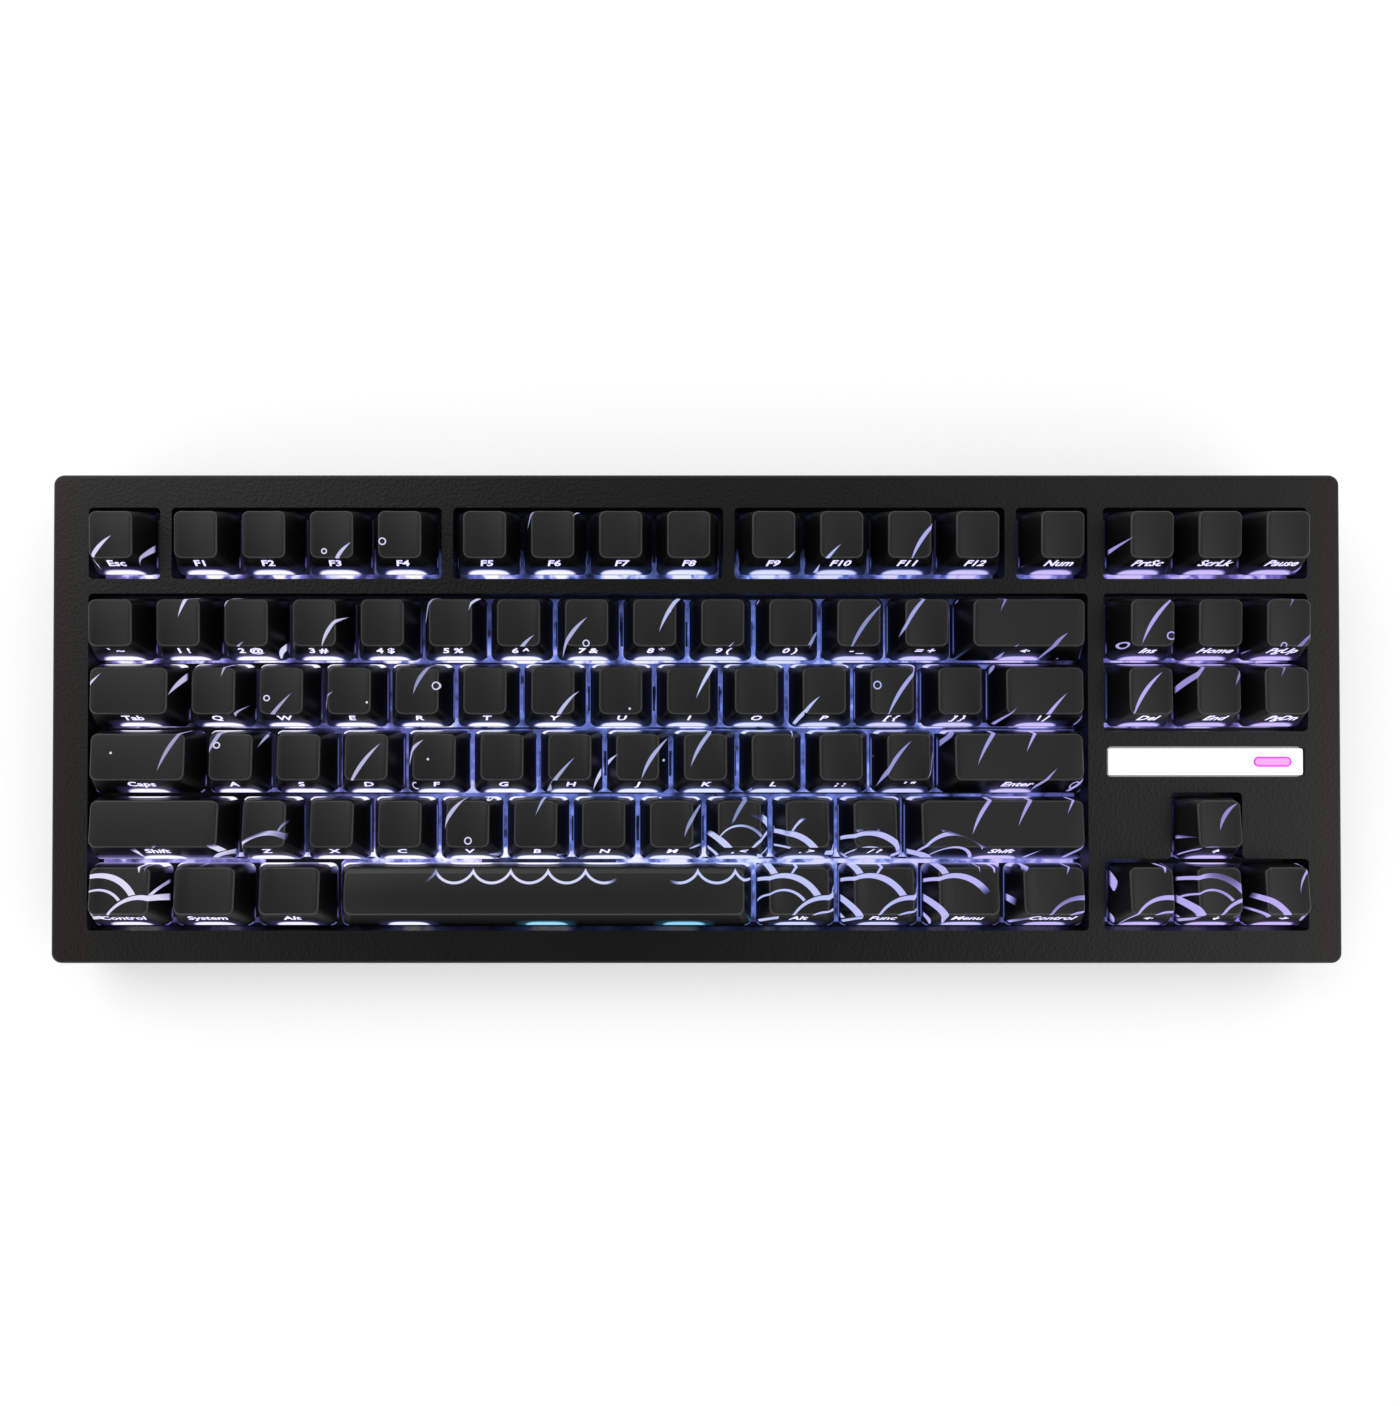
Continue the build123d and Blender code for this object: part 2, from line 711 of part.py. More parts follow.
# Upper switch housing, a tapered cover with an opening for the slider's neck
with BuildPart() as switch_cover:
    with BuildSketch(Plane.XY.offset(flange_height)):
        Rectangle(cover_base, cover_base)
    with BuildSketch(Plane.XY.offset(cover_height)):
        Rectangle(cover_top_width, cover_top_depth)
    loft()
    with BuildSketch(Plane.XY.offset(flange_height)):
        Rectangle(cover_base - 2 * cover_wall, cover_base - 2 * cover_wall)
    with BuildSketch(Plane.XY.offset(cover_height - cover_roof)):
        Rectangle(cover_top_width - 2 * cover_wall, cover_top_depth - 2 * cover_wall)
    loft(mode=Mode.SUBTRACT)
    with BuildSketch(Plane.XY.offset(cover_height)):
        Rectangle(neck_width + 2 * running_gap, slider_depth + 2 * running_gap)
    extrude(amount=-2 * cover_roof, mode=Mode.SUBTRACT)
copy_to_keys(switch_cover, "switch_upper_housings")

with BuildPart() as contact_pair:
    with BuildSketch(Plane.XY.offset(contact_top)):
        with Locations(*contact_places):
            Rectangle(contact_width, contact_thickness)
    extrude(amount=-(contact_top + board_depth + board_thickness + contact_tail))
copy_to_keys(contact_pair, "switch_contacts")

# Coil spring between the switch floor and the slider
with BuildPart() as switch_spring:
    coil_inset = spring_wire / 2 + spring_end_gap
    coil_height = switch_floor_depth + spring_chamber_top - 2 * coil_inset
    with BuildLine(Plane.XY.offset(coil_inset - switch_floor_depth)) as coil:
        Helix(pitch=spring_pitch, height=coil_height, radius=spring_radius)
    with BuildSketch(Plane(origin=coil.line @ 0, z_dir=coil.line % 0)):
        Circle(spring_wire / 2)
    sweep(is_frenet=True)
copy_to_keys(switch_spring, "switch_springs")

with BuildPart() as key_light:
    with BuildSketch(Plane.XY.offset(-board_depth)):
        Rectangle(led_width, led_depth)
    extrude(amount=led_height)
copy_to_keys(key_light, "key_leds", led_places)
bar_led_places = [
    (bar_place[0] + (index - (bar_led_count - 1) / 2) * bar_led_pitch, bar_place[1])
    for index in range(bar_led_count)
]
copy_to_keys(key_light, "bar_leds", bar_led_places)

with BuildPart() as board_chips:
    for chip in chips:
        with BuildSketch(board_under):
            with Locations((chip.x, chip.y)):
                Rectangle(chip.width, chip.depth)
        extrude(amount=-chip.height)
save(board_chips, "board_chips")

# Stabilizer housing: a guide for the stem and a cradle for the wire
with BuildPart() as stabilizer_housing:
    arm_slot = wire_diameter + 2 * wire_play
    with BuildSketch(Plane.XY.offset(-board_depth)):
        Rectangle(stabilizer_width, stabilizer_depth)
    extrude(amount=board_depth + stabilizer_top)
    foot_length = stabilizer_foot_end - stabilizer_depth / 2
    with BuildSketch(Plane.XY.offset(-board_depth)):
        with Locations((0, stabilizer_foot_end - foot_length / 2)):
            Rectangle(stabilizer_width, foot_length)
    extrude(amount=board_depth + stabilizer_foot_top)
    with BuildSketch(Plane.XY.offset(-board_depth)):
        Rectangle(stabilizer_stem + 2 * running_gap, stabilizer_stem + 2 * running_gap)
    extrude(amount=board_depth + stabilizer_top, mode=Mode.SUBTRACT)
    cradle_floor = wire_axis_z - arm_slot / 2
    with BuildSketch(Plane.XY.offset(cradle_floor)):
        with Locations((0, stabilizer_foot_end / 2 + 1)):
            Rectangle(arm_slot, stabilizer_foot_end)
        with Locations((0, wire_axis_y)):
            Rectangle(stabilizer_width, arm_slot)
    extrude(amount=stabilizer_top / 2 - cradle_floor - arm_slot / 2, mode=Mode.SUBTRACT)
copy_to_keys(stabilizer_housing, "stabilizer_housings", stabilizer_places)

# Stabilizer wires: at rest the arms point up to the raised stems
wire_lift = math.asin(key_travel / wire_arm)
wire_plane = Plane(
    origin=(0, wire_axis_y, wire_axis_z),
    x_dir=(1, 0, 0),
    z_dir=(0, math.sin(wire_lift), math.cos(wire_lift)),
)
for key in wide_keys:
    spread = stabilizer_offset(key.width)
    with BuildPart() as wire:
        with BuildLine(wire_plane) as wire_path:
            FilletPolyline(
                (-spread, -wire_arm), (-spread, 0), (spread, 0), (spread, -wire_arm), radius=wire_bend
            )
        with BuildSketch(Plane(origin=wire_path.line @ 0, z_dir=wire_path.line % 0)):
            Circle(wire_diameter / 2)
        sweep()
    copy_to_keys(wire, key.node.replace("key_", "stabilizer_wire_"), [(key.x, key.y)])


def cross_profile(play=0.0):
    Rectangle(cross_span + 2 * play, cross_bar_across + 2 * play)
    Rectangle(cross_bar_along + 2 * play, cross_span + 2 * play)


def make_slider():
    # The switch's moving stem, with its guide pole inside the spring
    with BuildPart() as slider:
        with BuildSketch(Plane.XY.offset(slider_bottom)):
            Rectangle(slider_width, slider_depth)
        extrude(amount=slider_top - slider_bottom)
        with BuildSketch(Plane.XY.offset(slider_top)):
            Rectangle(neck_width, slider_depth)
        extrude(amount=neck_top - slider_top)
        with BuildSketch(Plane.XY.offset(neck_top)):
            cross_profile()
        extrude(amount=cross_top - neck_top)
        with BuildSketch(Plane.XY.offset(slider_bottom)):
            Circle(spring_chamber / 2)
        extrude(amount=spring_chamber_top - slider_bottom, mode=Mode.SUBTRACT)
        with BuildSketch(Plane.XY.offset(pole_bottom)):
            Circle(pole_diameter / 2)
        extrude(amount=spring_chamber_top - pole_bottom)
    return slider.part


def make_stabilizer_stem():
    # A guided stem with a hook underneath that the wire's end slides in
    tip_height = wire_axis_z + key_travel
    hook_top = tip_height + wire_diameter / 2 + running_gap
    hook_bottom = stabilizer_stem_bottom + hook_lip
    half_stem = stabilizer_stem / 2
    with BuildPart() as stem:
        with BuildSketch(Plane.XY.offset(stabilizer_stem_bottom)):
            Rectangle(stabilizer_stem, stabilizer_stem)
        extrude(amount=stabilizer_stem_top - stabilizer_stem_bottom)
        with BuildSketch(Plane.XY.offset(stabilizer_stem_top)):
            cross_profile()
        extrude(amount=cross_top - stabilizer_stem_top)
        with BuildSketch(Plane.XY.offset(hook_bottom)):
            with Locations((0, (half_stem - hook_front) / 2)):
                Rectangle(wire_diameter + 2 * wire_play, half_stem + hook_front)
        extrude(amount=hook_top - hook_bottom, mode=Mode.SUBTRACT)
        with BuildSketch(Plane.XY.offset(stabilizer_stem_bottom)):
            with Locations((0, (half_stem - hook_lip_end) / 2)):
                Rectangle(wire_diameter + 2 * wire_play, half_stem + hook_lip_end)
        extrude(amount=hook_lip, mode=Mode.SUBTRACT)
    return stem.part


def make_cap(width, row, stem_offsets):
    # A tapered shell with a dished top, and a post with a cross socket over each stem
    shape = cap_shapes[row]
    is_space = width == space_units
    height = shape.height + (space_extra_height if is_space else 0)
    base_width = width * key_pitch - cap_gap
    base_depth = key_pitch - cap_gap
    top_width = base_width - cap_taper
    tilt = math.radians(shape.tilt)
    top_direction = (0, -math.sin(tilt), math.cos(tilt))
    top_plane = Plane(
        origin=(0, shape.shift, cap_skirt + height), x_dir=(1, 0, 0), z_dir=top_direction
    )
    with BuildPart() as cap:
        with BuildSketch(Plane.XY.offset(cap_skirt)):
            RectangleRounded(base_width, base_depth, cap_base_corner)
        with BuildSketch(top_plane):
            RectangleRounded(top_width, cap_top_depth, cap_top_corner)
        loft(ruled=True)
        with BuildSketch(Plane.XY.offset(cap_skirt)):
            RectangleRounded(base_width - 2 * cap_wall, base_depth - 2 * cap_wall, cap_base_corner)
        with BuildSketch(top_plane.offset(-cap_roof)):
            RectangleRounded(top_width - 2 * cap_wall, cap_top_depth - 2 * cap_wall, cap_wall)
        loft(ruled=True, mode=Mode.SUBTRACT)
        if is_space:
            # The space bar's top is crowned instead of dished
            with Locations((0, shape.shift, cap_skirt + height - space_crown)):
                Cylinder(space_crown, base_width + 1, rotation=(0, 90, 0), mode=Mode.INTERSECT)
        else:
            dish_radius = (top_width ** 2 / 4 + cap_dish ** 2) / (2 * cap_dish)
            dish_centre = top_plane.offset(dish_radius - cap_dish).origin
            with Locations(dish_centre):
                Cylinder(dish_radius, 2 * base_depth, rotation=(90 + shape.tilt, 0, 0), mode=Mode.SUBTRACT)
        post_top = cap_skirt + height - cap_roof + cap_post_sink
        with BuildSketch(Plane.XY.offset(cap_post_bottom)):
            with Locations(*[(offset, 0) for offset in stem_offsets]):
                Circle(cap_post_diameter / 2)
        extrude(amount=post_top - cap_post_bottom)
        with BuildSketch(Plane.XY.offset(cap_post_bottom)):
            with Locations(*[(offset, 0) for offset in stem_offsets]):
                cross_profile(cap_socket_play)
        extrude(amount=cross_top + cap_socket_play - cap_post_bottom, mode=Mode.SUBTRACT)
    return cap.part


# Keys: each keycap with the stems under it, as separate solids that move together
slider = make_slider()
stabilizer_stem_part = make_stabilizer_stem()
for node in key_nodes:
    group = [key for key in keys if key.node == node]
    first = group[0]
    stabilizer_offsets = []
    if first in wide_keys:
        stabilizer_offsets = [-stabilizer_offset(first.width), stabilizer_offset(first.width)]
    with BuildPart() as key_unit:
        add(make_cap(first.width, first.row, [0.0] + stabilizer_offsets))
        add(slider)
        if stabilizer_offsets:
            with Locations(*[(offset, 0) for offset in stabilizer_offsets]):
                add(stabilizer_stem_part)
    copy_to_keys(key_unit, node, [(key.x, key.y) for key in group])

# Light bar: a diffuser that hangs from its flange under the deck, and its indicator window
with BuildPart() as light_bar:
    with BuildSketch(deck.offset(-bar_recess)) as bar_face:
        with Locations(bar_place):
            Rectangle(bar_window_width - 2 * bar_play, bar_window_depth - 2 * bar_play)
        fillet(bar_face.vertices(), window_corner - bar_play)
    extrude(amount=-(deck_thickness - bar_recess))
    with BuildSketch(deck.offset(-deck_thickness)):
        with Locations(bar_place):
            Rectangle(bar_window_width + 2 * bar_flange, bar_window_depth + 2 * bar_flange)
    extrude(amount=-bar_flange_height)
    with BuildSketch(deck.offset(-(deck_thickness + bar_flange_height))):
        with Locations(bar_place):
            Rectangle(bar_guide_width, bar_guide_depth)
    extrude(amount=-(bar_guide_end - deck_thickness - bar_flange_height))
    with BuildSketch(deck.offset(-bar_recess)):
        with Locations(pill_place):
            SlotOverall(pill_width + 2 * pill_play, pill_depth + 2 * pill_play)
    extrude(amount=-pill_sink, mode=Mode.SUBTRACT)
save(light_bar, "light_bar")

with BuildPart() as indicator_window:
    with BuildSketch(deck.offset(-bar_recess)):
        with Locations(pill_place):
            SlotOverall(pill_width, pill_depth)
    extrude(amount=-pill_sink)
save(indicator_window, "indicator_window")

# USB socket: a thin shell round a tongue, soldered under the circuit board
with BuildPart() as usb_socket:
    with BuildSketch(rear_facing(socket_rear - socket_length, usb_depth)):
        RectangleRounded(socket_width, socket_height, socket_corner)
    extrude(amount=socket_length)
    with BuildSketch(rear_facing(socket_rear - socket_length + socket_back, usb_depth)):
        shell = 2 * socket_shell
        RectangleRounded(socket_width - shell, socket_height - shell, socket_corner - socket_shell)
    extrude(amount=socket_length, mode=Mode.SUBTRACT)
    with BuildSketch(rear_facing(socket_rear - socket_length, usb_depth)):
        Rectangle(tongue_width, tongue_thickness)
    extrude(amount=socket_length - tongue_setback)
save(usb_socket, "usb_socket")


def make_flip_foot(side):
    # A folding foot with a barrel and two hinge pins, lying flush in its pocket
    tip_y = flip_axis_y - flip_length
    underside = bottom_level + flip_recess
    with BuildPart() as foot:
        blade_side = Plane(origin=(side - flip_width / 2, 0, 0), x_dir=(0, 1, 0), z_dir=(1, 0, 0))
        with BuildSketch(blade_side) as outline:
            with Locations((flip_axis_y - flip_length / 2, underside + flip_thickness / 2)):
                Rectangle(flip_length, flip_thickness)
            tips = outline.vertices().group_by(Axis.X)[0]
            fillet(tips, flip_tip_round)
            with Locations((flip_axis_y, flip_axis_z)):
                Circle(flip_barrel_radius)
        extrude(amount=flip_width)
        with BuildSketch(blade_side.offset(-flip_pin_length)):
            with Locations((flip_axis_y, flip_axis_z)):
                Circle(flip_pin_diameter / 2)
        extrude(amount=flip_width + 2 * flip_pin_length)
        # Grip grooves across the tip
        with BuildSketch(Plane.XY.offset(underside)):
            groove_lines = [
                tip_y + flip_groove_inset + flip_groove_pitch * index for index in range(flip_grooves)
            ]
            with Locations(*[(side, line) for line in groove_lines]):
                Rectangle(flip_width - 2 * flip_groove_margin, flip_groove_width)
        extrude(amount=flip_groove_depth, mode=Mode.SUBTRACT)
    return foot


save(make_flip_foot(-flip_spread), "flip_foot_left")
save(make_flip_foot(flip_spread), "flip_foot_right")
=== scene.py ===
import json
import math

import bmesh
import bpy
from mathutils import Matrix, Vector


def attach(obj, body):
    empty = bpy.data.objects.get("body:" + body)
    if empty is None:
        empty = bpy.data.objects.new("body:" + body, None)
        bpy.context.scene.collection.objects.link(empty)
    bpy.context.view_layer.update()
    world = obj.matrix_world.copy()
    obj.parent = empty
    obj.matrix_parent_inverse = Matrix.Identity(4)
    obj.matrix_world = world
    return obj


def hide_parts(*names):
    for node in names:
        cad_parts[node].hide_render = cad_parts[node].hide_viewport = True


# A lit mechanical keyboard. The frame is in metres; piece dictionaries are in millimetres.
mm = 0.001
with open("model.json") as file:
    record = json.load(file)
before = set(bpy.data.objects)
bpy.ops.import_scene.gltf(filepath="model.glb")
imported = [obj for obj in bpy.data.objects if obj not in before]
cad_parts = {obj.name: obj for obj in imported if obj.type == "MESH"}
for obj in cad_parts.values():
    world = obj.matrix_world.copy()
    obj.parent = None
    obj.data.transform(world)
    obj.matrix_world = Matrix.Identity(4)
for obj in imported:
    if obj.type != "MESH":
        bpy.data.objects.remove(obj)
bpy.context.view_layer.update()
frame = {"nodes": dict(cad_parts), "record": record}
nodes = frame["nodes"]
print("frame:", len(nodes), "nodes")

# The deck slopes up to the rear, and every key travels square to it
pressAxis = Vector(frame["record"]["behaviour"]["joints"][0]["axis"]).normalized()
deckUp = -pressAxis
deckRight = Vector((1, 0, 0))
deckRear = deckUp.cross(deckRight)
toDeck = Matrix((deckRight, deckRear, deckUp))
fromDeck = toDeck.transposed()


def deckBox(name):
    spots = [toDeck @ v.co for v in nodes[name].data.vertices]
    low = Vector([min(s[i] for s in spots) for i in range(3)])
    high = Vector([max(s[i] for s in spots) for i in range(3)])
    return low, high


def meshFrom(bm, name):
    mesh = bpy.data.meshes.new(name)
    bm.to_mesh(mesh)
    bm.free()
    return mesh


def addObject(name, data):
    made = bpy.data.objects.new(name, data)
    bpy.context.scene.collection.objects.link(made)
    return made


caseLow, caseHigh = deckBox("case_top")
deckLevel = caseHigh.z
plateLevel = deckBox("switch_plate")[1].z
print("deck level", round(deckLevel / mm, 2), "mm, plate level", round(plateLevel / mm, 2), "mm")


def plug(tree, socket, value):
    if isinstance(value, Wire):
        tree.links.new(value.socket, socket)
    else:
        socket.default_value = value


class Wire:  # a node socket that takes part in plain arithmetic
    def __init__(self, tree, socket):
        self.tree, self.socket = tree, socket

    def math(self, operation, *others, flipped=False):
        node = self.tree.nodes.new("ShaderNodeMath")
        node.operation = operation
        values = [self, *others]
        if flipped:
            values.reverse()
        for place, value in enumerate(values):
            plug(self.tree, node.inputs[place], value)
        return Wire(self.tree, node.outputs[0])

    def __add__(self, other): return self.math("ADD", other)
    def __radd__(self, other): return self.math("ADD", other)
    def __sub__(self, other): return self.math("SUBTRACT", other)
    def __rsub__(self, other): return self.math("SUBTRACT", other, flipped=True)
    def __mul__(self, other): return self.math("MULTIPLY", other)
    def __rmul__(self, other): return self.math("MULTIPLY", other)
    def __truediv__(self, other): return self.math("DIVIDE", other)
    def __lt__(self, other): return self.math("LESS_THAN", other)
    def __gt__(self, other): return self.math("GREATER_THAN", other)
    def __abs__(self): return self.math("ABSOLUTE")
    def floor(self): return self.math("FLOOR")
    def fraction(self): return self.math("FRACT")
    def root(self): return self.math("SQRT")
    def sine(self): return self.math("SINE")
    def least(self, other): return self.math("MINIMUM", other)
    def most(self, other): return self.math("MAXIMUM", other)
    def limited(self): return self.most(0.0).least(1.0)

    def beside(self, name):  # another output of the same node
        return Wire(self.tree, self.socket.node.outputs[name])


class Shading:  # a shader and the nodes that feed it
    def __init__(self, tree, shader):
        self.tree, self.shader = tree, shader

    def feed(self, socket, value):
        plug(self.tree, self.shader.inputs[socket], value)

    def node(self, kind, settings=None, inputs=None, output=0):
        made = self.tree.nodes.new(kind)
        for name, value in (settings or {}).items():
            if name == "stops":
                ramp = made.color_ramp
                for place, (spot, colour) in enumerate(value):
                    stop = ramp.elements[place] if place < 2 else ramp.elements.new(spot)
                    stop.position, stop.color = spot, colour
            else:
                setattr(made, name, value)
        for name, value in (inputs or {}).items():
            plug(self.tree, made.inputs[name], value)
        return Wire(self.tree, made.outputs[output])

    def place(self):
        return self.node("ShaderNodeTexCoord", output="Object")

    def parts(self, vector):
        split = self.node("ShaderNodeSeparateXYZ", inputs={0: vector})
        return split, split.beside("Y"), split.beside("Z")

    def deck(self):  # across and rearward in the deck's own plane, in mm
        x, y, z = self.parts(self.place())
        return x / mm, (y * deckRear.y + z * deckRear.z) / mm

    def noise(self, scale, detail=2.0, vector=None):
        where = vector or self.place()
        return self.node("ShaderNodeTexNoise", inputs={"Vector": where, "Scale": scale, "Detail": detail})

    def blend(self, amount, first, second, kind="MIX"):
        settings = {"data_type": "RGBA", "blend_type": kind}
        return self.node("ShaderNodeMix", settings, {0: amount, 6: first, 7: second}, output=2)

    def pack(self, x, y, z=0.0):
        return self.node("ShaderNodeCombineXYZ", inputs={"X": x, "Y": y, "Z": z})

    def painted(self, name):  # a value kept in the piece's own mesh
        return self.node("ShaderNodeAttribute", {"attribute_name": name}, output="Vector")

    def tint(self, first, second):  # two colours multiplied
        return self.blend(1.0, first, second, "MULTIPLY")

    def grey(self, amount):
        return self.blend(amount, colour(0, 0, 0), colour(1, 1, 1))

    def bump(self, height, strength, distance):
        normal = self.node(
            "ShaderNodeBump", inputs={"Height": height, "Strength": strength, "Distance": distance}
        )
        self.feed("Normal", normal)


class Finish(Shading):  # one material with a Principled shader
    def __init__(self, name, **constants):
        self.material = bpy.data.materials.new(name)
        self.material.use_nodes = True
        tree = self.material.node_tree
        super().__init__(tree, tree.nodes["Principled BSDF"])
        self.material.cycles.emission_sampling = "NONE"  # the glow is seen, the studio lamps do the lighting
        for socket, value in constants.items():
            self.feed(socket.replace("_", " "), value)


def colour(red, green, blue):
    return (red, green, blue, 1.0)


def smooth(value, low, high):  # 0 below low, 1 above high
    return ((value - low) / (high - low)).limited()


light = dict(
    pale=colour(0.97, 0.95, 1.0), ice=colour(0.7, 0.76, 1.0), lilac=colour(0.62, 0.52, 0.97),
    violet=colour(0.33, 0.27, 0.86), blue=colour(0.2, 0.28, 0.9), mauve=colour(0.26, 0.19, 0.74),
    cyan=colour(0.12, 0.62, 0.95),  # under two of the space bar's lamps
    span=360.0, spillX=8.0, spillY=-16.0, spillWide=128.0, spillDeep=62.0, spillFull=0.45, spillNone=1.1,
    seamFull=1.0, seamNone=4.5,
)


def acrossDeck(finish, stops):  # a colour that changes from the left end to the right
    x, _ = finish.deck()
    return finish.node("ShaderNodeValToRGB", {"stops": stops}, {"Fac": x / light["span"] + 0.5})


def haloHue(finish):
    stops = [(0.0, light["violet"]), (0.4, light["blue"]), (0.64, light["blue"]), (1.0, light["mauve"])]
    return acrossDeck(finish, stops)


def coreHue(finish):  # nearly white at the left, icy in the middle, lilac at the right
    stops = [(0.0, light["pale"]), (0.36, light["pale"]), (0.55, light["ice"]), (0.76, light["lilac"])]
    return acrossDeck(finish, stops)


def spill(finish):  # the light spreads furthest round the middle of the letter keys
    x, y = finish.deck()
    across, along = (x - light["spillX"]) / light["spillWide"], (y - light["spillY"]) / light["spillDeep"]
    return 1.0 - smooth(across * across + along * along, light["spillFull"], light["spillNone"])


def seamGlow(finish):  # the brightest line, between the two front rows of the main block
    x, y = finish.deck()
    line, reach = deckBox("key_space")[1].y / mm, deckBox("key_enter")[1].x / mm
    return (1.0 - smooth(abs(y - line), light["seamFull"], light["seamNone"])) * (x < reach)


caseLook = dict(
    base=colour(0.0024, 0.0024, 0.0024), warm=colour(0.0115, 0.0075, 0.004),
    raised=colour(0.0052, 0.005, 0.0048),
    roughness=0.4, sheen=0.36, cell=1250.0, fine=4200.0, cloud=30.0, grain=0.36, depth=0.0002,
    warmFrom=166.0, warmTo=187.0, warmShare=0.8, raisedShare=0.5, cellSoft=0.7, cellFrom=0.15, cellTo=0.75,
    cloudShare=0.15, cloudRough=0.12, fineRough=0.25, fineShare=0.4,
)


def makeCaseFinish():  # moulded plastic with a fine leathery grain, a little warmer towards the ends
    finish = Finish("caseGrain", Specular_IOR_Level=caseLook["sheen"])
    look = caseLook
    x, _ = finish.deck()
    edge = smooth(abs(x), look["warmFrom"], look["warmTo"]) * look["warmShare"]
    cloud = finish.noise(look["cloud"])
    cells = finish.node(
        "ShaderNodeTexVoronoi", {"feature": "SMOOTH_F1"},
        {"Vector": finish.place(), "Scale": look["cell"], "Smoothness": look["cellSoft"]},
    )
    fine = finish.noise(look["fine"], 3.0)
    base = finish.blend((edge + cloud * look["cloudShare"]).limited(), look["base"], look["warm"])
    raised = smooth(cells, look["cellFrom"], look["cellTo"]) * look["raisedShare"]
    finish.feed("Base Color", finish.blend(raised, base, look["raised"]))
    uneven = (fine - 0.5) * look["fineRough"] + (cloud - 0.5) * look["cloudRough"]
    finish.feed("Roughness", look["roughness"] + uneven)
    finish.bump(cells + fine * look["fineShare"], look["grain"], look["depth"])
    return finish.material


# The wall and foot colours of the caps are painted shade, and the rim colour is a painted highlight
capLook = dict(
    base=colour(0.0115, 0.0115, 0.0124), bright=colour(0.0175, 0.0175, 0.0186),
    foot=colour(0.002, 0.002, 0.003),
    wall=colour(0.001, 0.001, 0.0014), rimHighlightColour=colour(0.055, 0.055, 0.058), roughness=0.44, sheen=0.34,
    speck=2600.0, wallFrom=6.0, wallTo=7.2, poolWidth=6.4, poolRise=3.1, poolCore=0.42,
    haloStrength=0.28, haloNear=2.0, haloFar=9.0, haloRise=4.8, seamStrength=0.5, seamLow=0.4, seamHigh=3.2,
    cornerStrength=0.2, cornerLow=0.5, cornerHigh=7.0, footStrength=0.7, footLow=0.1, footHigh=0.6,
    frontFrom=-3.5, frontTo=-7.0, printLow=0.8, printHigh=1.6, printShare=0.7,
    legendLow=-4.5, legendHalf=5.5, footShadeFade=(-1.0, 5.0), rimHighlightShare=0.7, rimSmooth=0.1, speckRough=0.25,
    speckBump=0.15, speckDepth=0.00004, poolLow=0.1, poolHigh=0.45, coreFrom=0.2, coreTo=0.8,
)
printLook = dict(
    leafLean=math.radians(56), leafLength=30.0, leafWidth=9.5, leafThick=0.062, leafShare=0.42,
    leafStagger=0.37, leafLeast=0.16, leafMore=0.2, leafBow=0.12, leafSoft=0.012, leafDim=0.55,
    ringCell=14.0, ringRadius=0.8, ringShare=0.78, ringInset=0.2, ringLeast=0.45, ringMore=0.9,
    ringFrom=0.14, ringTo=0.22, dotFrom=0.3, dotTo=0.4, dotBelow=0.62,
    waveRadius=12.0, waveTop=-33.0, waveThin=0.25, waveThick=0.95, waveShare=0.3, waveTail=4.0,
    waveOuter=0.93, waveInner=0.6, waveInnerShare=0.6, softEdge=0.12,
    rollLong=0.045, rollHigh=7.0, rollShort=0.11, rollLow=3.0,
    trimStep=10.5, trimRadius=6.0, trimLift=1.6, trimThick=0.42,
    patchScale=24.0, patchFrom=0.485, patchSoft=0.05, bright=0.95,
)


def leafPrint(finish, x, y):  # slim leaves, all leaning one way
    look = printLook
    lean = look["leafLean"]
    along = (x * math.cos(lean) + y * math.sin(lean)) / look["leafLength"]
    across = (y * math.cos(lean) - x * math.sin(lean)) / look["leafWidth"]
    column = across.floor()
    along = along + column * look["leafStagger"]
    cell = finish.pack(along.floor(), column)
    chance = finish.node("ShaderNodeTexWhiteNoise", {"noise_dimensions": "2D"}, {"Vector": cell}, "Color")
    first, second, third = finish.parts(chance)
    reach = look["leafLeast"] + first * look["leafMore"]
    u = (along.fraction() - 0.5) / reach
    v = across.fraction() - 0.5 + (u * u - 0.5) * look["leafBow"]
    body = look["leafThick"] * (1.0 - u * u) - abs(v)
    tone = look["leafDim"] + third * (1.0 - look["leafDim"])
    return smooth(body, 0.0, look["leafSoft"]) * (second > look["leafShare"]) * tone


def ringPrint(finish, x, y):  # small rings and dots
    look = printLook
    across, along = x / look["ringCell"], y / look["ringCell"]
    cell = finish.pack(across.floor() + 31.0, along.floor())
    chance = finish.node("ShaderNodeTexWhiteNoise", {"noise_dimensions": "2D"}, {"Vector": cell}, "Color")
    first, second, third = finish.parts(chance)
    inset, room = look["ringInset"], 1.0 - 2 * look["ringInset"]
    dx = (across.fraction() - inset - first * room) * look["ringCell"]
    dy = (along.fraction() - inset - second * room) * look["ringCell"]
    distance = (dx * dx + dy * dy).root()
    size = look["ringRadius"] * (look["ringLeast"] + look["ringMore"] * second)
    ring = 1.0 - smooth(abs(distance - size), look["ringFrom"], look["ringTo"])
    dot = (1.0 - smooth(distance, look["dotFrom"], look["dotTo"])) * (size < look["dotBelow"])
    return (ring * (size > look["dotBelow"])).most(dot) * (third > look["ringShare"])


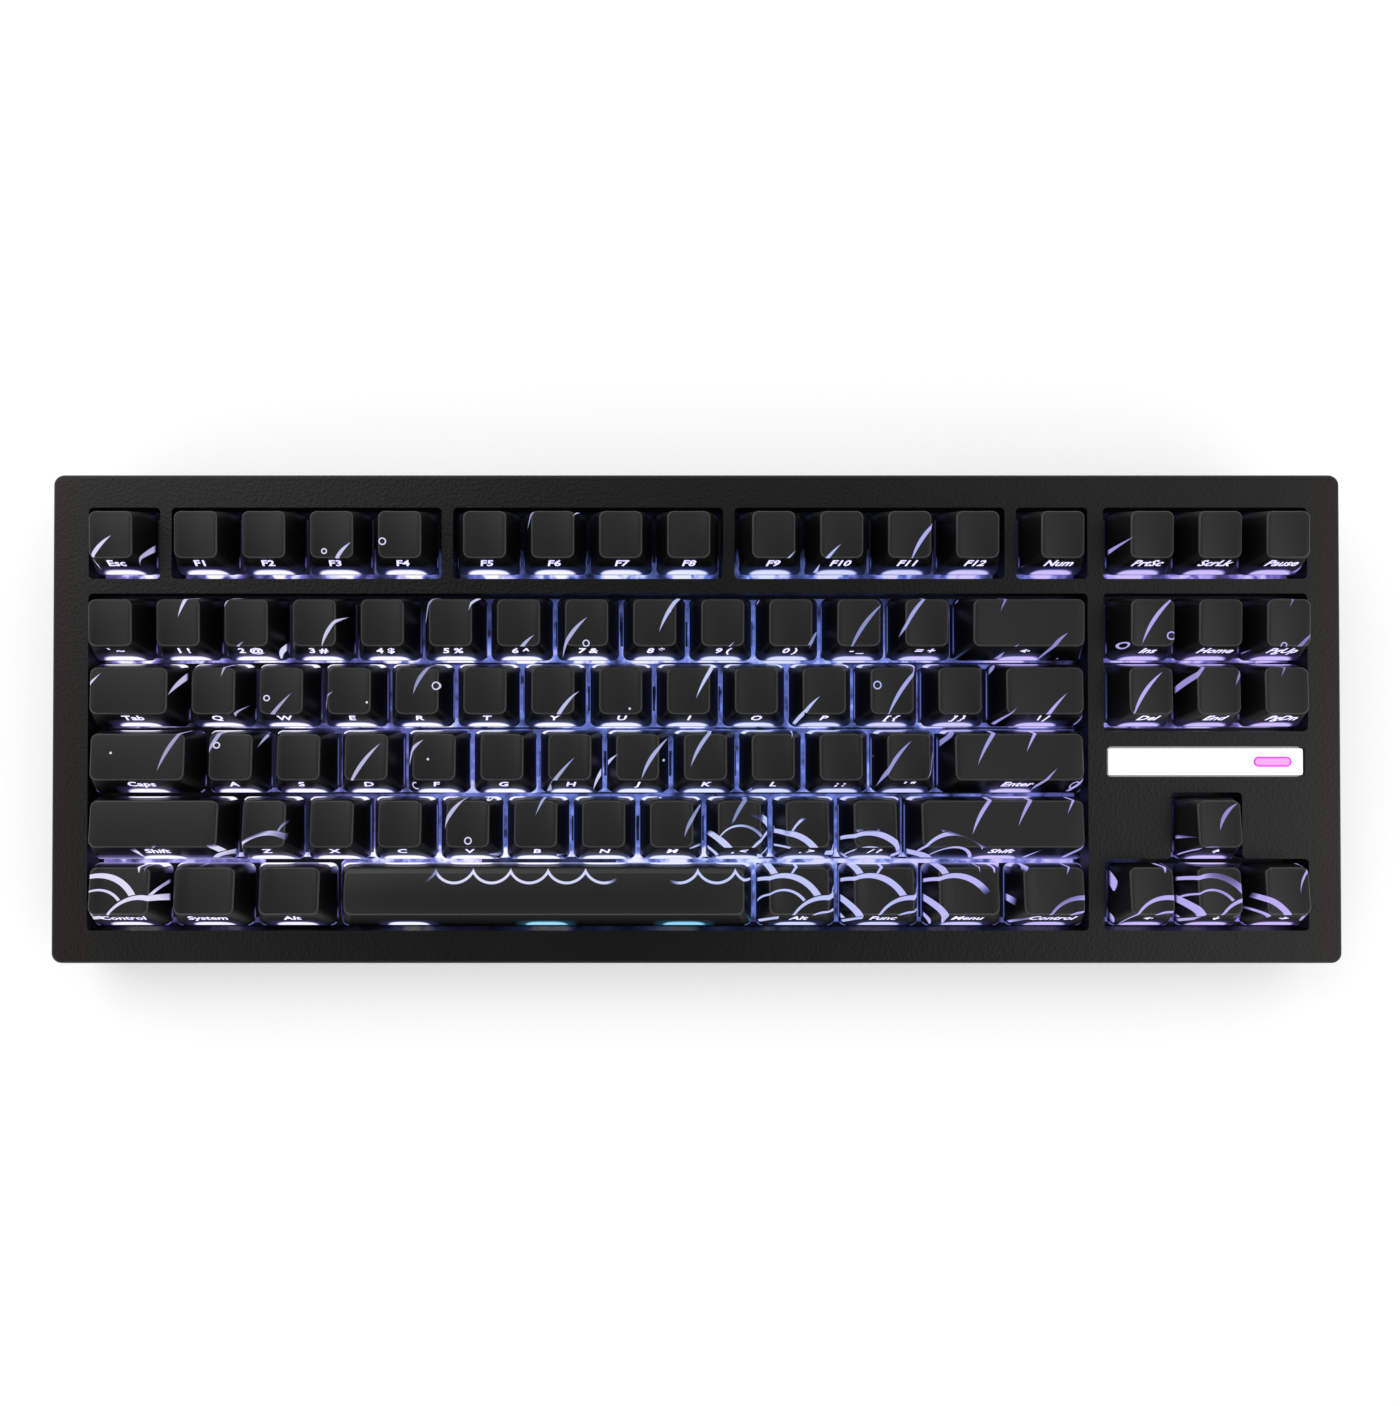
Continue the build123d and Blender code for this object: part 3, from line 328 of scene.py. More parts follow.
def wavePrint(finish, x, y):  # the traditional overlapping scallops, in a band with a rolling top
    look = printLook
    radius, soft = look["waveRadius"], look["softEdge"]
    step = radius / 2
    row = (y / step).floor()
    drawn = None
    for back in (0.0, 1.0):
        line = row - back
        shift = (line * 0.5).fraction() * 2.0 * radius
        column = (x + shift) / (2.0 * radius)
        cell = finish.pack(column.floor(), line)
        chance = finish.node("ShaderNodeTexWhiteNoise", {"noise_dimensions": "2D"}, {"Vector": cell}, "Value")
        shown = chance > look["waveShare"]
        dx = (column.fraction() - 0.5) * (2.0 * radius)
        dy = y - line * step
        distance = (dx * dx + dy * dy).root()
        thick = look["waveThin"] + look["waveThick"] * smooth(dx, -radius, radius)
        thick = thick * smooth(dy, -0.6, look["waveTail"])
        thin = thick * 0.5
        outer = 1.0 - smooth(abs(distance - radius * look["waveOuter"]), thick - soft, thick)
        inner = 1.0 - smooth(abs(distance - radius * look["waveInner"]), thin - soft, thin)
        arcs = outer.most(inner * (chance > look["waveInnerShare"]))
        inside = (distance < radius) * shown
        drawn = arcs * inside if drawn is None else drawn * (1.0 - inside) + arcs * inside
    # The space bar has a trim of small arcs hanging over its rear edge instead
    low, high = deckBox("key_space")
    middle, half = (low.x + high.x) / 2 / mm, (high.x - low.x) / 2 / mm
    onSpace = (abs(x - middle) < half) * (y < high.y / mm)
    trimX = ((x / look["trimStep"]).fraction() - 0.5) * look["trimStep"]
    trimY = y - high.y / mm - look["trimLift"]
    trimGap = abs((trimX * trimX + trimY * trimY).root() - look["trimRadius"])
    trim = 1.0 - smooth(trimGap, look["trimThick"] - soft, look["trimThick"])
    drawn = drawn * (1.0 - onSpace) + trim * onSpace
    top = look["waveTop"] + (x * look["rollLong"]).sine() * look["rollHigh"]
    top = top + (x * look["rollShort"]).sine() * look["rollLow"]
    band = 1.0 - smooth(y - top, -1.0, 0.0)
    patchTo = look["patchFrom"] + look["patchSoft"]
    patches = smooth(finish.noise(look["patchScale"], 1.0), look["patchFrom"], patchTo)
    return drawn * band * patches, band


def makeCapFinish():
    finish = Finish("keycapMatte", Specular_IOR_Level=capLook["sheen"])
    look = capLook
    x, y = finish.deck()
    lampX, keyY, rise = finish.parts(finish.painted("keyPlace"))
    sort, cornerShare, lampTone = finish.parts(finish.painted("keyEdge"))
    rimShare, wallShare = sort.most(0.0), (-1.0 * sort).most(0.0)
    speck = finish.noise(look["speck"], 3.0)
    body = finish.blend(speck, look["base"], look["bright"])
    # Painted shade: the walls get a near-black colour, darker than the tops of the same plastic
    body = finish.blend(wallShare, body, look["wall"])
    # Painted shade: the caps darken towards their foot
    body = finish.blend(smooth(rise, *look["footShadeFade"]), look["foot"], body)
    # Painted highlight: the rim round the top is given a lighter colour
    finish.feed("Base Color", finish.blend(rimShare * look["rimHighlightShare"], body, look["rimHighlightColour"]))
    uneven = (speck - 0.5) * look["speckRough"] - rimShare * look["rimSmooth"]
    finish.feed("Roughness", look["roughness"] + uneven)
    finish.bump(speck, look["speckBump"], look["speckDepth"])
    waves, band = wavePrint(finish, x, y)
    marks = leafPrint(finish, x, y).most(ringPrint(finish, x, y)) * (1.0 - band)
    nearLegend = wallShare * (keyY < look["legendLow"]) * (abs(lampX) < look["legendHalf"])
    onPrint = smooth(rise, look["printLow"], look["printHigh"]) * (1.0 - nearLegend)
    # The print is the caps' own pattern, drawn as painted glow in the emission rather than in the base colour
    marks = marks.most(waves) * onPrint * printLook["bright"]
    # Lamps stand in front of each key, and light the foot of its front wall and of the next key's rear wall
    nearWall = smooth(abs(keyY), look["wallFrom"], look["wallTo"]) * wallShare
    across, top = lampX / look["poolWidth"], rise / look["poolRise"]
    pool = 1.0 - smooth(across * across * across * across + top * top, look["poolCore"], 1.0)
    pool = pool * nearWall * smooth(rise, look["poolLow"], look["poolHigh"])
    halo = (1.0 - smooth(abs(lampX), look["haloNear"], look["haloFar"])) * nearWall
    halo = halo * (1.0 - smooth(rise, 0.0, look["haloRise"])) * look["haloStrength"]
    seam = seamGlow(finish) * (1.0 - smooth(rise, look["seamLow"], look["seamHigh"]))
    seam = seam * nearWall * look["seamStrength"]
    # Painted light from the gaps: a glow at the outer front corners and along the foot of the walls
    corner = 1.0 - smooth(rise, look["cornerLow"], look["cornerHigh"])
    corner = corner * cornerShare * look["cornerStrength"]
    lit = smooth(keyY, look["frontFrom"], look["frontTo"]).most(spill(finish))
    foot = (1.0 - smooth(rise, look["footLow"], look["footHigh"])) * (1.0 - nearWall)
    foot = foot * lit * look["footStrength"]
    cyan = lampTone * nearWall * (keyY < 0.0)
    hue = finish.blend(cyan, haloHue(finish), light["cyan"])
    core = smooth(pool + seam, look["coreFrom"], look["coreTo"]).most(marks * look["printShare"])
    core = core * (1.0 - cyan * look["printShare"])
    strength = (pool.most(marks) + halo + seam + corner + foot).limited()
    paint = finish.blend(core, hue, coreHue(finish))
    finish.feed("Emission Color", finish.tint(finish.grey(strength), paint))
    finish.feed("Emission Strength", 1.0)
    return finish.material


def makeGlow(name, base, strength, vary=0.25):  # an evenly lit translucent piece
    finish = Finish(name, Roughness=0.35)
    cloud = finish.noise(90.0)
    dim = colour(base[0] * (1 - vary), base[1] * (1 - vary), base[2])
    tint = finish.blend(cloud, dim, base)
    finish.feed("Base Color", tint)
    finish.feed("Emission Color", tint)
    finish.feed("Emission Strength", strength)
    return finish.material


filmLook = dict(
    paint=colour(0.012, 0.012, 0.016), worn=colour(0.03, 0.03, 0.038), lampLine=7.6, width=8.5, depth=6.5,
    spread=0.75, spreadReach=1.5, peak=1.7, peakReach=0.95, spill=0.55, seam=0.9,
    slot=0.4, slotLow=-4.5, slotHigh=2.8, rowSlot=0.28, slotDark=0.93, streak=240.0,
    streakLeast=0.15, streakMost=1.35, streakFrom=0.3, streakTo=0.7, coreFrom=0.75, coreTo=1.6,
    peakFrom=0.1, rowCloud=38.0, rowFrom=0.45, rowTo=0.5,
)


def makeFilmFinish():  # the lit film on the plate: brightest at each lamp, dark at the slots between keys
    finish = Finish("filmLit", Roughness=0.4, Specular_IOR_Level=0.3)
    look = filmLook
    lampX, keyY, sideGap = finish.parts(finish.painted("filmPlace"))
    across, along = lampX / look["width"], (keyY + look["lampLine"]) / look["depth"]
    distance = (across * across + along * along).root()
    spread = (1.0 - smooth(distance, 0.0, look["spreadReach"])) * look["spread"]
    peak = (1.0 - smooth(distance, look["peakFrom"], look["peakReach"])) * look["peak"]
    streak = finish.noise(look["streak"])
    slot = (sideGap < look["slot"]) * (keyY > look["slotLow"]) * (keyY < look["slotHigh"])
    rowGap = abs(abs(keyY) - cap["pitch"] / 2)
    rowCloud = finish.noise(look["rowCloud"], 1.0)
    rowSlot = (rowGap < look["rowSlot"]) * smooth(rowCloud, look["rowFrom"], look["rowTo"])
    strength = spread + peak + spill(finish) * look["spill"] + seamGlow(finish) * look["seam"]
    streaks = smooth(streak, look["streakFrom"], look["streakTo"])
    strength = strength * (look["streakLeast"] + streaks * look["streakMost"])
    strength = strength * (1.0 - slot.most(rowSlot) * look["slotDark"])
    finish.feed("Base Color", finish.blend(streak, look["paint"], look["worn"]))
    paint = finish.blend(smooth(strength, look["coreFrom"], look["coreTo"]), haloHue(finish), coreHue(finish))
    finish.feed("Emission Color", finish.tint(finish.grey(strength.limited()), paint))
    finish.feed("Emission Strength", 1.0)
    return finish.material


plateLook = dict(paint=colour(0.02, 0.02, 0.024), edge=colour(0.045, 0.045, 0.05), glow=0.008)


def makePlateFinish():  # black steel that picks up a little of the light
    finish = Finish("plateBlack", Metallic=0.6)
    grain = finish.noise(700.0)
    finish.feed("Roughness", 0.35 + grain * 0.2)
    finish.feed("Base Color", finish.blend(grain, plateLook["paint"], plateLook["edge"]))
    glow = finish.grey(finish.noise(60.0) * plateLook["glow"])
    finish.feed("Emission Color", finish.tint(glow, haloHue(finish)))
    finish.feed("Emission Strength", 1.0)
    return finish.material


barLook = dict(white=colour(1.0, 0.99, 1.0), edge=0.35, edgeShade=0.15, strength=1.05)
pillLook = dict(
    rimFrom=0.3, rimTo=0.78, core=colour(0.95, 0.38, 0.86), ring=colour(0.82, 0.035, 0.82), strength=0.92,
)


def fromMiddle(finish, name):  # offsets from the middle of a carried-over piece's face
    spots = [toDeck @ v.co for v in nodes[name].data.vertices]
    face = [spot for spot in spots if spot.z > max(s.z for s in spots) - 1e-5]
    low = Vector([min(s[i] for s in face) for i in range(3)]) / mm
    high = Vector([max(s[i] for s in face) for i in range(3)]) / mm
    x, y = finish.deck()
    middle, half = (low + high) / 2, (high - low) / 2
    return abs(x - middle.x), abs(y - middle.y), half


def makeBarFinish():  # a blown-out white diffuser, a little dimmer at its very edge, where a shadow line is painted
    finish = Finish("barDiffuser", Roughness=0.4)
    across, along, half = fromMiddle(finish, "light_bar")
    inside = (half.x - across).least(half.y - along)
    cloud = finish.noise(60.0)
    tone = barLook["edgeShade"] + smooth(inside, 0.0, barLook["edge"]) * (1.0 - barLook["edgeShade"])
    finish.feed("Base Color", finish.blend(cloud, colour(0.8, 0.8, 0.82), colour(0.9, 0.9, 0.9)))
    finish.feed("Emission Color", finish.tint(finish.grey(tone), barLook["white"]))
    finish.feed("Emission Strength", barLook["strength"])
    return finish.material


def makePillFinish():  # pink window, deeper at its rim
    finish = Finish("pillPink", Roughness=0.3)
    across, along, half = fromMiddle(finish, "indicator_window")
    past = (across - (half.x - half.y)).most(0.0)
    inside = half.y - (past * past + along * along).root()
    tone = smooth(inside, pillLook["rimFrom"], pillLook["rimTo"])
    paint = finish.blend(tone, pillLook["ring"], pillLook["core"])
    finish.feed("Base Color", finish.tint(paint, colour(0.25, 0.25, 0.25)))
    finish.feed("Emission Color", paint)
    finish.feed("Emission Strength", pillLook["strength"])
    return finish.material


def dimmed(base, share):
    return colour(*(channel * share for channel in base[:3]))


def makeMetal(name, base, roughness):
    finish = Finish(name, Metallic=1.0)
    x, y, z = finish.parts(finish.place())
    drawn = finish.noise(900.0, 3.0, finish.pack(x, y * 8.0, z * 8.0))
    finish.feed("Base Color", finish.blend(drawn, base, dimmed(base, 0.7)))
    finish.feed("Roughness", roughness + (drawn - 0.5) * 0.2)
    return finish.material


def makePlastic(name, base, roughness, cell, depth, strength=0.3):
    finish = Finish(name)
    fine = finish.noise(cell, 3.0)
    finish.feed("Base Color", finish.blend(fine, base, dimmed(base, 0.72)))
    finish.feed("Roughness", roughness + (fine - 0.5) * 0.15)
    finish.bump(fine, strength, depth)
    return finish.material


def makeBoard():  # green lacquer over fine copper runs
    finish = Finish("boardLacquer", Roughness=0.3)
    x, y = finish.deck()
    runs = smooth(abs((x * 0.8).fraction() - 0.5), 0.3, 0.34) * smooth(finish.noise(40.0), 0.5, 0.55)
    finish.feed("Base Color", finish.blend(runs, colour(0.006, 0.03, 0.016), colour(0.02, 0.085, 0.04)))
    finish.feed("Roughness", 0.25 + finish.noise(300.0) * 0.2)
    return finish.material


def dress(name, material):
    data = nodes[name].data
    data.materials.clear()
    data.materials.append(material)


caseGrain = makeCaseFinish()
capMatte = makeCapFinish()
legendGlow = makeGlow("legendLit", colour(0.84, 0.8, 1.0), 0.95, 0.3)
stemPlastic = makePlastic("stemPlastic", colour(0.62, 0.5, 0.42), 0.4, 900.0, 0.00002)
# The switch housings: dark blue plastic with a faint painted glow
housingGlow = makeGlow("housingGlow", colour(0.07, 0.07, 0.13), 0.12)
lampWhite = makeGlow("lampWhite", colour(0.85, 0.83, 1.0), 1.6, 0.1)
steelBright = makeMetal("steelBright", colour(0.55, 0.55, 0.57), 0.3)
contactBrass = makeMetal("contactBrass", colour(0.72, 0.5, 0.22), 0.3)
screwBlack = makeMetal("screwBlack", colour(0.09, 0.09, 0.1), 0.38)
rubberBlack = makePlastic("rubberBlack", colour(0.018, 0.018, 0.018), 0.85, 1600.0, 0.00012, 0.5)
foamGrey = makePlastic("foamGrey", colour(0.04, 0.04, 0.045), 0.95, 700.0, 0.0003, 0.8)
chipBlack = makePlastic("chipBlack", colour(0.012, 0.012, 0.013), 0.5, 1800.0, 0.00003)
boardLacquer = makeBoard()
print("finishes made")

dressing = {
    caseGrain: ["case_top", "case_bottom", "flip_foot_left", "flip_foot_right"],
    makePlateFinish(): ["switch_plate"],
    housingGlow: ["switch_lower_housings", "switch_upper_housings", "stabilizer_housings"],
    lampWhite: ["key_leds", "bar_leds"],
    steelBright: ["usb_socket"] + [n for n in nodes if n.startswith("stabilizer_wire")],
    contactBrass: ["switch_contacts"],
    screwBlack: ["case_screws"],
    rubberBlack: ["rubber_feet"],
    foamGrey: ["plate_foam", "case_foam", "gasket_pads"],
    chipBlack: ["board_chips"],
    boardLacquer: ["circuit_board"],
    makeBarFinish(): ["light_bar"],
    makePillFinish(): ["indicator_window"],
}
for material, names in dressing.items():
    for name in names:
        dress(name, material)
print("carried-over pieces dressed")

cap = dict(
    skirt=6.2, gap=1.05, pitch=19.05, taper=6.2, topDepth=13.0, corner=1.9, cornerSegments=5,
    wall=1.2, roof=2.0, dish=0.6, dishCuts=8, rim=0.5, rimSegments=3,
    postRadius=2.75, postBore=2.2, postBottom=7.0, postSink=0.3, postSegments=20,
    spaceUnits=6.25, spaceExtra=0.5, spaceCrown=0.95, spaceCuts=8, spaceLamps=(-39.5, 0.0, 39.5),
    stemReach=12.0, noLamp=100.0,
)
# height above the skirt, top tilt in degrees, rearward shift of the top
capShapes = {
    "function": (9.4, 1.0, 1.25), "number": (9.4, 1.0, 1.25), "top": (8.4, -2.0, 1.3),
    "home": (8.1, -4.0, 1.8), "shift": (8.4, -6.0, 2.1), "bottom": (8.4, -6.0, 2.4),
}
# row and legends of each node, from left to right
keyLegends = {
    "key_esc": ("function", ["Esc"]), "keys_f1_f4": ("function", ["F1", "F2", "F3", "F4"]),
    "keys_f5_f8": ("function", ["F5", "F6", "F7", "F8"]),
    "keys_f9_f12": ("function", ["F9", "F10", "F11", "F12"]), "key_num": ("function", ["Num"]),
    "key_print_screen": ("function", ["PrtSc"]), "key_scroll_lock": ("function", ["ScrLk"]),
    "key_pause": ("function", ["Pause"]),
    "keys_number_row": ("number", ["` ~", "1 !", "2 @", "3 #", "4 $", "5 %", "6 ^", "7 &", "8 *", "9 (",
                                   "0 )", "- _", "= +"]),
    "key_backspace": ("number", ["left"]), "keys_insert_home_page_up": ("number", ["Ins", "Home", "PgUp"]),
    "key_tab": ("top", ["Tab"]), "keys_upper_row": ("top", list("QWERTYUIOP") + ["[ {", "] }"]),
    "key_backslash": ("top", ["\\ |"]), "keys_delete_end_page_down": ("top", ["Del", "End", "PgDn"]),
    "key_caps": ("home", ["Caps"]), "keys_home_row": ("home", list("ASDFGHJKL") + ["; :", "' \""]),
    "key_enter": ("home", ["Enter"]),
    "key_left_shift": ("shift", ["Shift"]),
    "keys_lower_row": ("shift", list("ZXCVBNM") + [", <", ". >", "/ ?"]),
    "key_right_shift": ("shift", ["Shift"]), "key_arrow_up": ("shift", ["up"]),
    "key_left_ctrl": ("bottom", ["Control"]), "key_left_sys": ("bottom", ["System"]),
    "key_left_alt": ("bottom", ["Alt"]), "key_space": ("bottom", [""]), "key_right_alt": ("bottom", ["Alt"]),
    "key_fn": ("bottom", ["Func"]), "key_menu": ("bottom", ["Menu"]),
    "key_right_ctrl": ("bottom", ["Control"]),
    "key_arrow_left": ("bottom", ["left"]), "key_arrow_down": ("bottom", ["down"]),
    "key_arrow_right": ("bottom", ["right"]),
}
stemOffsets = {"space": 50.0, "wide": 11.94}
# which faces of a cap count as its rim, its corners, its walls and its rear wall
sorts = dict(
    rimLeast=0.5, rimMost=0.95, rimBand=1.6, cornerLeast=0.62, cornerMost=0.78, cornerFront=-0.2,
    rearLeast=0.8,
)


def bevelEdges(bm, edges, offset, segments):
    bmesh.ops.bevel(
        bm, geom=edges, offset=offset, offset_type="OFFSET", affect="EDGES",
        segments=segments, profile=0.5, material=-1,
    )


def taperedBlock(bm, baseSize, topSize, baseHeight, topSpot, tilt, corner):
    made = bmesh.ops.create_cube(bm, size=1.0)["verts"]
    base = [v for v in made if v.co.z < 0]
    top = [v for v in made if v.co.z > 0]
    bmesh.ops.scale(bm, verts=base, vec=(baseSize[0], baseSize[1], 1))
    bmesh.ops.translate(bm, verts=base, vec=(0, 0, baseHeight + 0.5))
    bmesh.ops.scale(bm, verts=top, vec=(topSize[0], topSize[1], 1))
    bmesh.ops.translate(bm, verts=top, vec=(0, 0, -0.5))
    bmesh.ops.rotate(bm, verts=top, cent=(0, 0, 0), matrix=Matrix.Rotation(tilt, 3, "X"))
    bmesh.ops.translate(bm, verts=top, vec=topSpot)
    upright = [e for e in bm.edges if (e.verts[0] in base) != (e.verts[1] in base)]
    bevelEdges(bm, upright, corner, cap["cornerSegments"])


def onPlane(face, spot, normal):
    return all(abs((v.co - spot).dot(normal)) < 1e-4 for v in face.verts)


def cutThrough(bm, faces, spot, across):  # cut the faces along a plane
    parts = dict.fromkeys(part for f in faces for part in (f, *f.edges, *f.verts))
    return bmesh.ops.bisect_plane(bm, geom=list(parts), dist=1e-5, plane_co=spot, plane_no=across)["geom"]


def makeCapMesh(width, row):  # one hollow keycap over its key centre, z from the plate, in mm
    height, tiltDegrees, shift = capShapes[row]
    isSpace = abs(width - cap["spaceUnits"]) < 0.1
    height += cap["spaceExtra"] if isSpace else 0
    tilt = math.radians(tiltDegrees)
    baseWidth = width * cap["pitch"] - cap["gap"]
    baseDepth = cap["pitch"] - cap["gap"]
    topWidth, topDepth = baseWidth - cap["taper"], cap["topDepth"]
    topSpot = Vector((0, shift, cap["skirt"] + height))
    normal = Matrix.Rotation(tilt, 3, "X") @ Vector((0, 0, 1))
    bm = bmesh.new()
    taperedBlock(bm, (baseWidth, baseDepth), (topWidth, topDepth), cap["skirt"], topSpot, tilt, cap["corner"])
    # Cut the top into strips and sink them into a dish, or crown them on the space bar
    cuts = cap["spaceCuts"] if isSpace else cap["dishCuts"]
    for step in range(1, cuts):
        share = step / cuts - 0.5
        spot = Vector((0, shift + share * topDepth, 0)) if isSpace else Vector((share * topWidth, 0, 0))
        across = (0, 1, 0) if isSpace else (1, 0, 0)
        cutThrough(bm, [f for f in bm.faces if onPlane(f, topSpot, normal)], spot, across)
    topFaces = [f for f in bm.faces if onPlane(f, topSpot, normal)]
    for v in {v for f in topFaces for v in f.verts}:
        if isSpace:
            v.co -= normal * cap["spaceCrown"] * ((v.co.y - shift) / (topDepth / 2)) ** 2
        else:
            v.co -= normal * cap["dish"] * (1 - (v.co.x / (topWidth / 2)) ** 2)
    edgeOfTop = [e for e in bm.edges if sum(f in topFaces for f in e.link_faces) == 1]
    bevelEdges(bm, edgeOfTop, cap["rim"], cap["rimSegments"])
    # The inside: the foot drawn in by the wall, then pushed up to the roof
    underside = [f for f in bm.faces if all(abs(v.co.z - cap["skirt"]) < 1e-4 for v in f.verts)]
    bmesh.ops.inset_individual(bm, faces=underside, thickness=cap["wall"], use_even_offset=True)
    roof = bmesh.ops.extrude_discrete_faces(bm, faces=underside)["faces"]
    inner = list({v for f in roof for v in f.verts})
    wall = 2 * cap["wall"]
    narrowing = ((topWidth - wall) / (baseWidth - wall), (topDepth - wall) / (baseDepth - wall), 1)
    bmesh.ops.translate(bm, verts=inner, vec=(0, 0, -cap["skirt"]))
    bmesh.ops.scale(bm, verts=inner, vec=narrowing)
    bmesh.ops.rotate(bm, verts=inner, cent=(0, 0, 0), matrix=Matrix.Rotation(tilt, 3, "X"))
    bmesh.ops.translate(bm, verts=inner, vec=topSpot - normal * cap["roof"])
    # Posts that grip the stems
    offsets = [0.0]
    if width >= 2:
        side = stemOffsets["space"] if isSpace else stemOffsets["wide"]
        offsets += [-side, side]
    postTop = cap["skirt"] + height - cap["roof"] + cap["postSink"]
    for offset in offsets:
        move = Matrix.Translation((offset, 0, cap["postBottom"]))
        disc = bmesh.ops.create_circle(
            bm, cap_ends=True, segments=cap["postSegments"], radius=cap["postRadius"], matrix=move
        )["verts"]
        bore = disc[0].link_faces[0]
        thick = cap["postRadius"] - cap["postBore"]
        rim = bmesh.ops.inset_individual(bm, faces=[bore], thickness=thick)["faces"]
        bmesh.ops.delete(bm, geom=[bore], context="FACES_ONLY")
        raised = bmesh.ops.extrude_face_region(bm, geom=rim)["geom"]
        lifted = [v for v in raised if isinstance(v, bmesh.types.BMVert)]
        bmesh.ops.translate(bm, verts=lifted, vec=(0, 0, postTop - cap["postBottom"]))
    bmesh.ops.recalc_face_normals(bm, faces=bm.faces)
    # Cut the rear wall into short lengths, so that each can look to its own lamp of the row behind
    lamps = cap["spaceLamps"] if isSpace else (0.0,)
    bm.normal_update()
    for step in range(round(-2 * width) + 1, round(2 * width)):
        rear = [f for f in bm.faces if f.normal.y > sorts["rearLeast"]]
        cutThrough(bm, rear, (step * cap["pitch"] / 4, 0, 0), (1, 0, 0))
    if isSpace:  # cut the walls between the lamps, so that each half looks to its own lamp
        for between in ((lamps[0] + lamps[1]) / 2, (lamps[1] + lamps[2]) / 2, *lamps):
            cutThrough(bm, bm.faces, (between, 0, 0), (1, 0, 0))
    # Where each point lies from the lamp, for the light at the foot of the cap
    placeLayer = bm.loops.layers.float_vector.new("keyPlace")
    edgeLayer = bm.faces.layers.float_vector.new("keyEdge")
    bm.normal_update()
    for f in bm.faces:
        f.smooth = True
        middle = f.calc_center_median()
        nearest = min(lamps, key=lambda lamp: abs(middle.x - lamp))
        for loop in f.loops:
            spot = loop.vert.co
            loop[placeLayer] = (spot.x - nearest, spot.y, spot.z - cap["skirt"])
        isOuter = middle.normalized().dot(f.normal) > 0
        isHigh = middle.z > cap["skirt"] + height - sorts["rimBand"]
        onRim = isHigh and sorts["rimLeast"] < f.normal.z < sorts["rimMost"]
        onWall = f.normal.z <= sorts["rimLeast"]
        isSlanting = sorts["cornerLeast"] < abs(f.normal.x) < sorts["cornerMost"]
        onCorner = isOuter and onWall and isSlanting and f.normal.y < sorts["cornerFront"]
        f[edgeLayer] = (float(onRim) - float(onWall), float(onCorner), float(isSpace and nearest > -1))
    # The plane of the front wall, for the legend
    foot = Vector((0, -baseDepth / 2, cap["skirt"]))
    edge = topSpot + Matrix.Rotation(tilt, 3, "X") @ Vector((0, -topDepth / 2, 0))
    return meshFrom(bm, f"cap_{row}_{width}"), foot, edge


legend = dict(
    size=4.3, narrow=0.92, bold=0.12, lean=0.2, fromTop=0.34, proud=0.04, arrowLength=3.4, arrowHead=1.3,
)


def makeLegendMesh(text):  # flat lettering in the XY plane, centred, in mm
    if text in ("left", "right", "up", "down"):
        bm = bmesh.new()
        head = legend["arrowHead"]
        spot = Matrix.Translation((-legend["arrowLength"] / 2 + head, 0, 0))
        tip = spot @ Matrix.Rotation(math.pi / 2, 4, "Z")
        bmesh.ops.create_circle(bm, cap_ends=True, segments=3, radius=head, matrix=tip)
        bar = bmesh.ops.create_grid(bm, x_segments=1, y_segments=1, size=0.5)["verts"]
        bmesh.ops.scale(bm, verts=bar, vec=(legend["arrowLength"] - 2 * head, head * 0.5, 1))
        bmesh.ops.translate(bm, verts=bar, vec=(head * 0.75, 0, 0))
        turn = math.radians({"left": 0, "down": 90, "right": 180, "up": 270}[text])
        bmesh.ops.rotate(bm, verts=bm.verts, cent=(0, 0, 0), matrix=Matrix.Rotation(turn, 3, "Z"))
        return meshFrom(bm, "legend")
    curve = bpy.data.curves.new("legend", "FONT")
    curve.body = text
    curve.size = legend["size"]
    curve.offset = legend["bold"]
    curve.shear = legend["lean"]
    curve.resolution_u = 2
    curve.align_x, curve.align_y = "CENTER", "CENTER"
    holder = addObject("legend", curve)
    bpy.context.view_layer.update()
    mesh = bpy.data.meshes.new_from_object(holder.evaluated_get(bpy.context.evaluated_depsgraph_get()))
    bpy.data.objects.remove(holder)
    return mesh


def addMesh(bm, mesh, move, materialIndex, lampsBehind=None):
    firstVert, firstFace = len(bm.verts), len(bm.faces)
    bm.from_mesh(mesh)
    bm.verts.ensure_lookup_table()
    bm.faces.ensure_lookup_table()
    if lampsBehind is not None:
        layer = bm.loops.layers.float_vector["keyPlace"]
        for face in bm.faces[firstFace:]:
            if face.normal.y > 0.5:
                middle = face.calc_center_median()
                nearest = min(lampsBehind, key=lambda lamp: abs(middle.x - lamp), default=cap["noLamp"])
                for loop in face.loops:
                    loop[layer] = (loop.vert.co.x - nearest, loop.vert.co.y, loop.vert.co.z - cap["skirt"])
    bmesh.ops.transform(bm, matrix=move, verts=bm.verts[firstVert:])
    for face in bm.faces[firstFace:]:
        face.material_index = materialIndex


def stemsOf(name):  # the stems of a key node, without its caps, as a merged copy
    bm = bmesh.new()
    bm.from_mesh(nodes[name].data)
    bmesh.ops.remove_doubles(bm, verts=bm.verts, dist=1e-7)
    seen, unwanted = set(), []
    for start in bm.verts:
        if start in seen:
            continue
        island, queue = {start}, [start]
        while queue:
            for edge in queue.pop().link_edges:
                for v in edge.verts:
                    if v not in island:
                        island.add(v)
                        queue.append(v)
        seen |= island
        reach = max((toDeck @ v.co).x for v in island) - min((toDeck @ v.co).x for v in island)
        if reach > cap["stemReach"] * mm:
            unwanted += list(island)
    bmesh.ops.delete(bm, geom=unwanted, context="VERTS")
    return meshFrom(bm, name + "_stems")


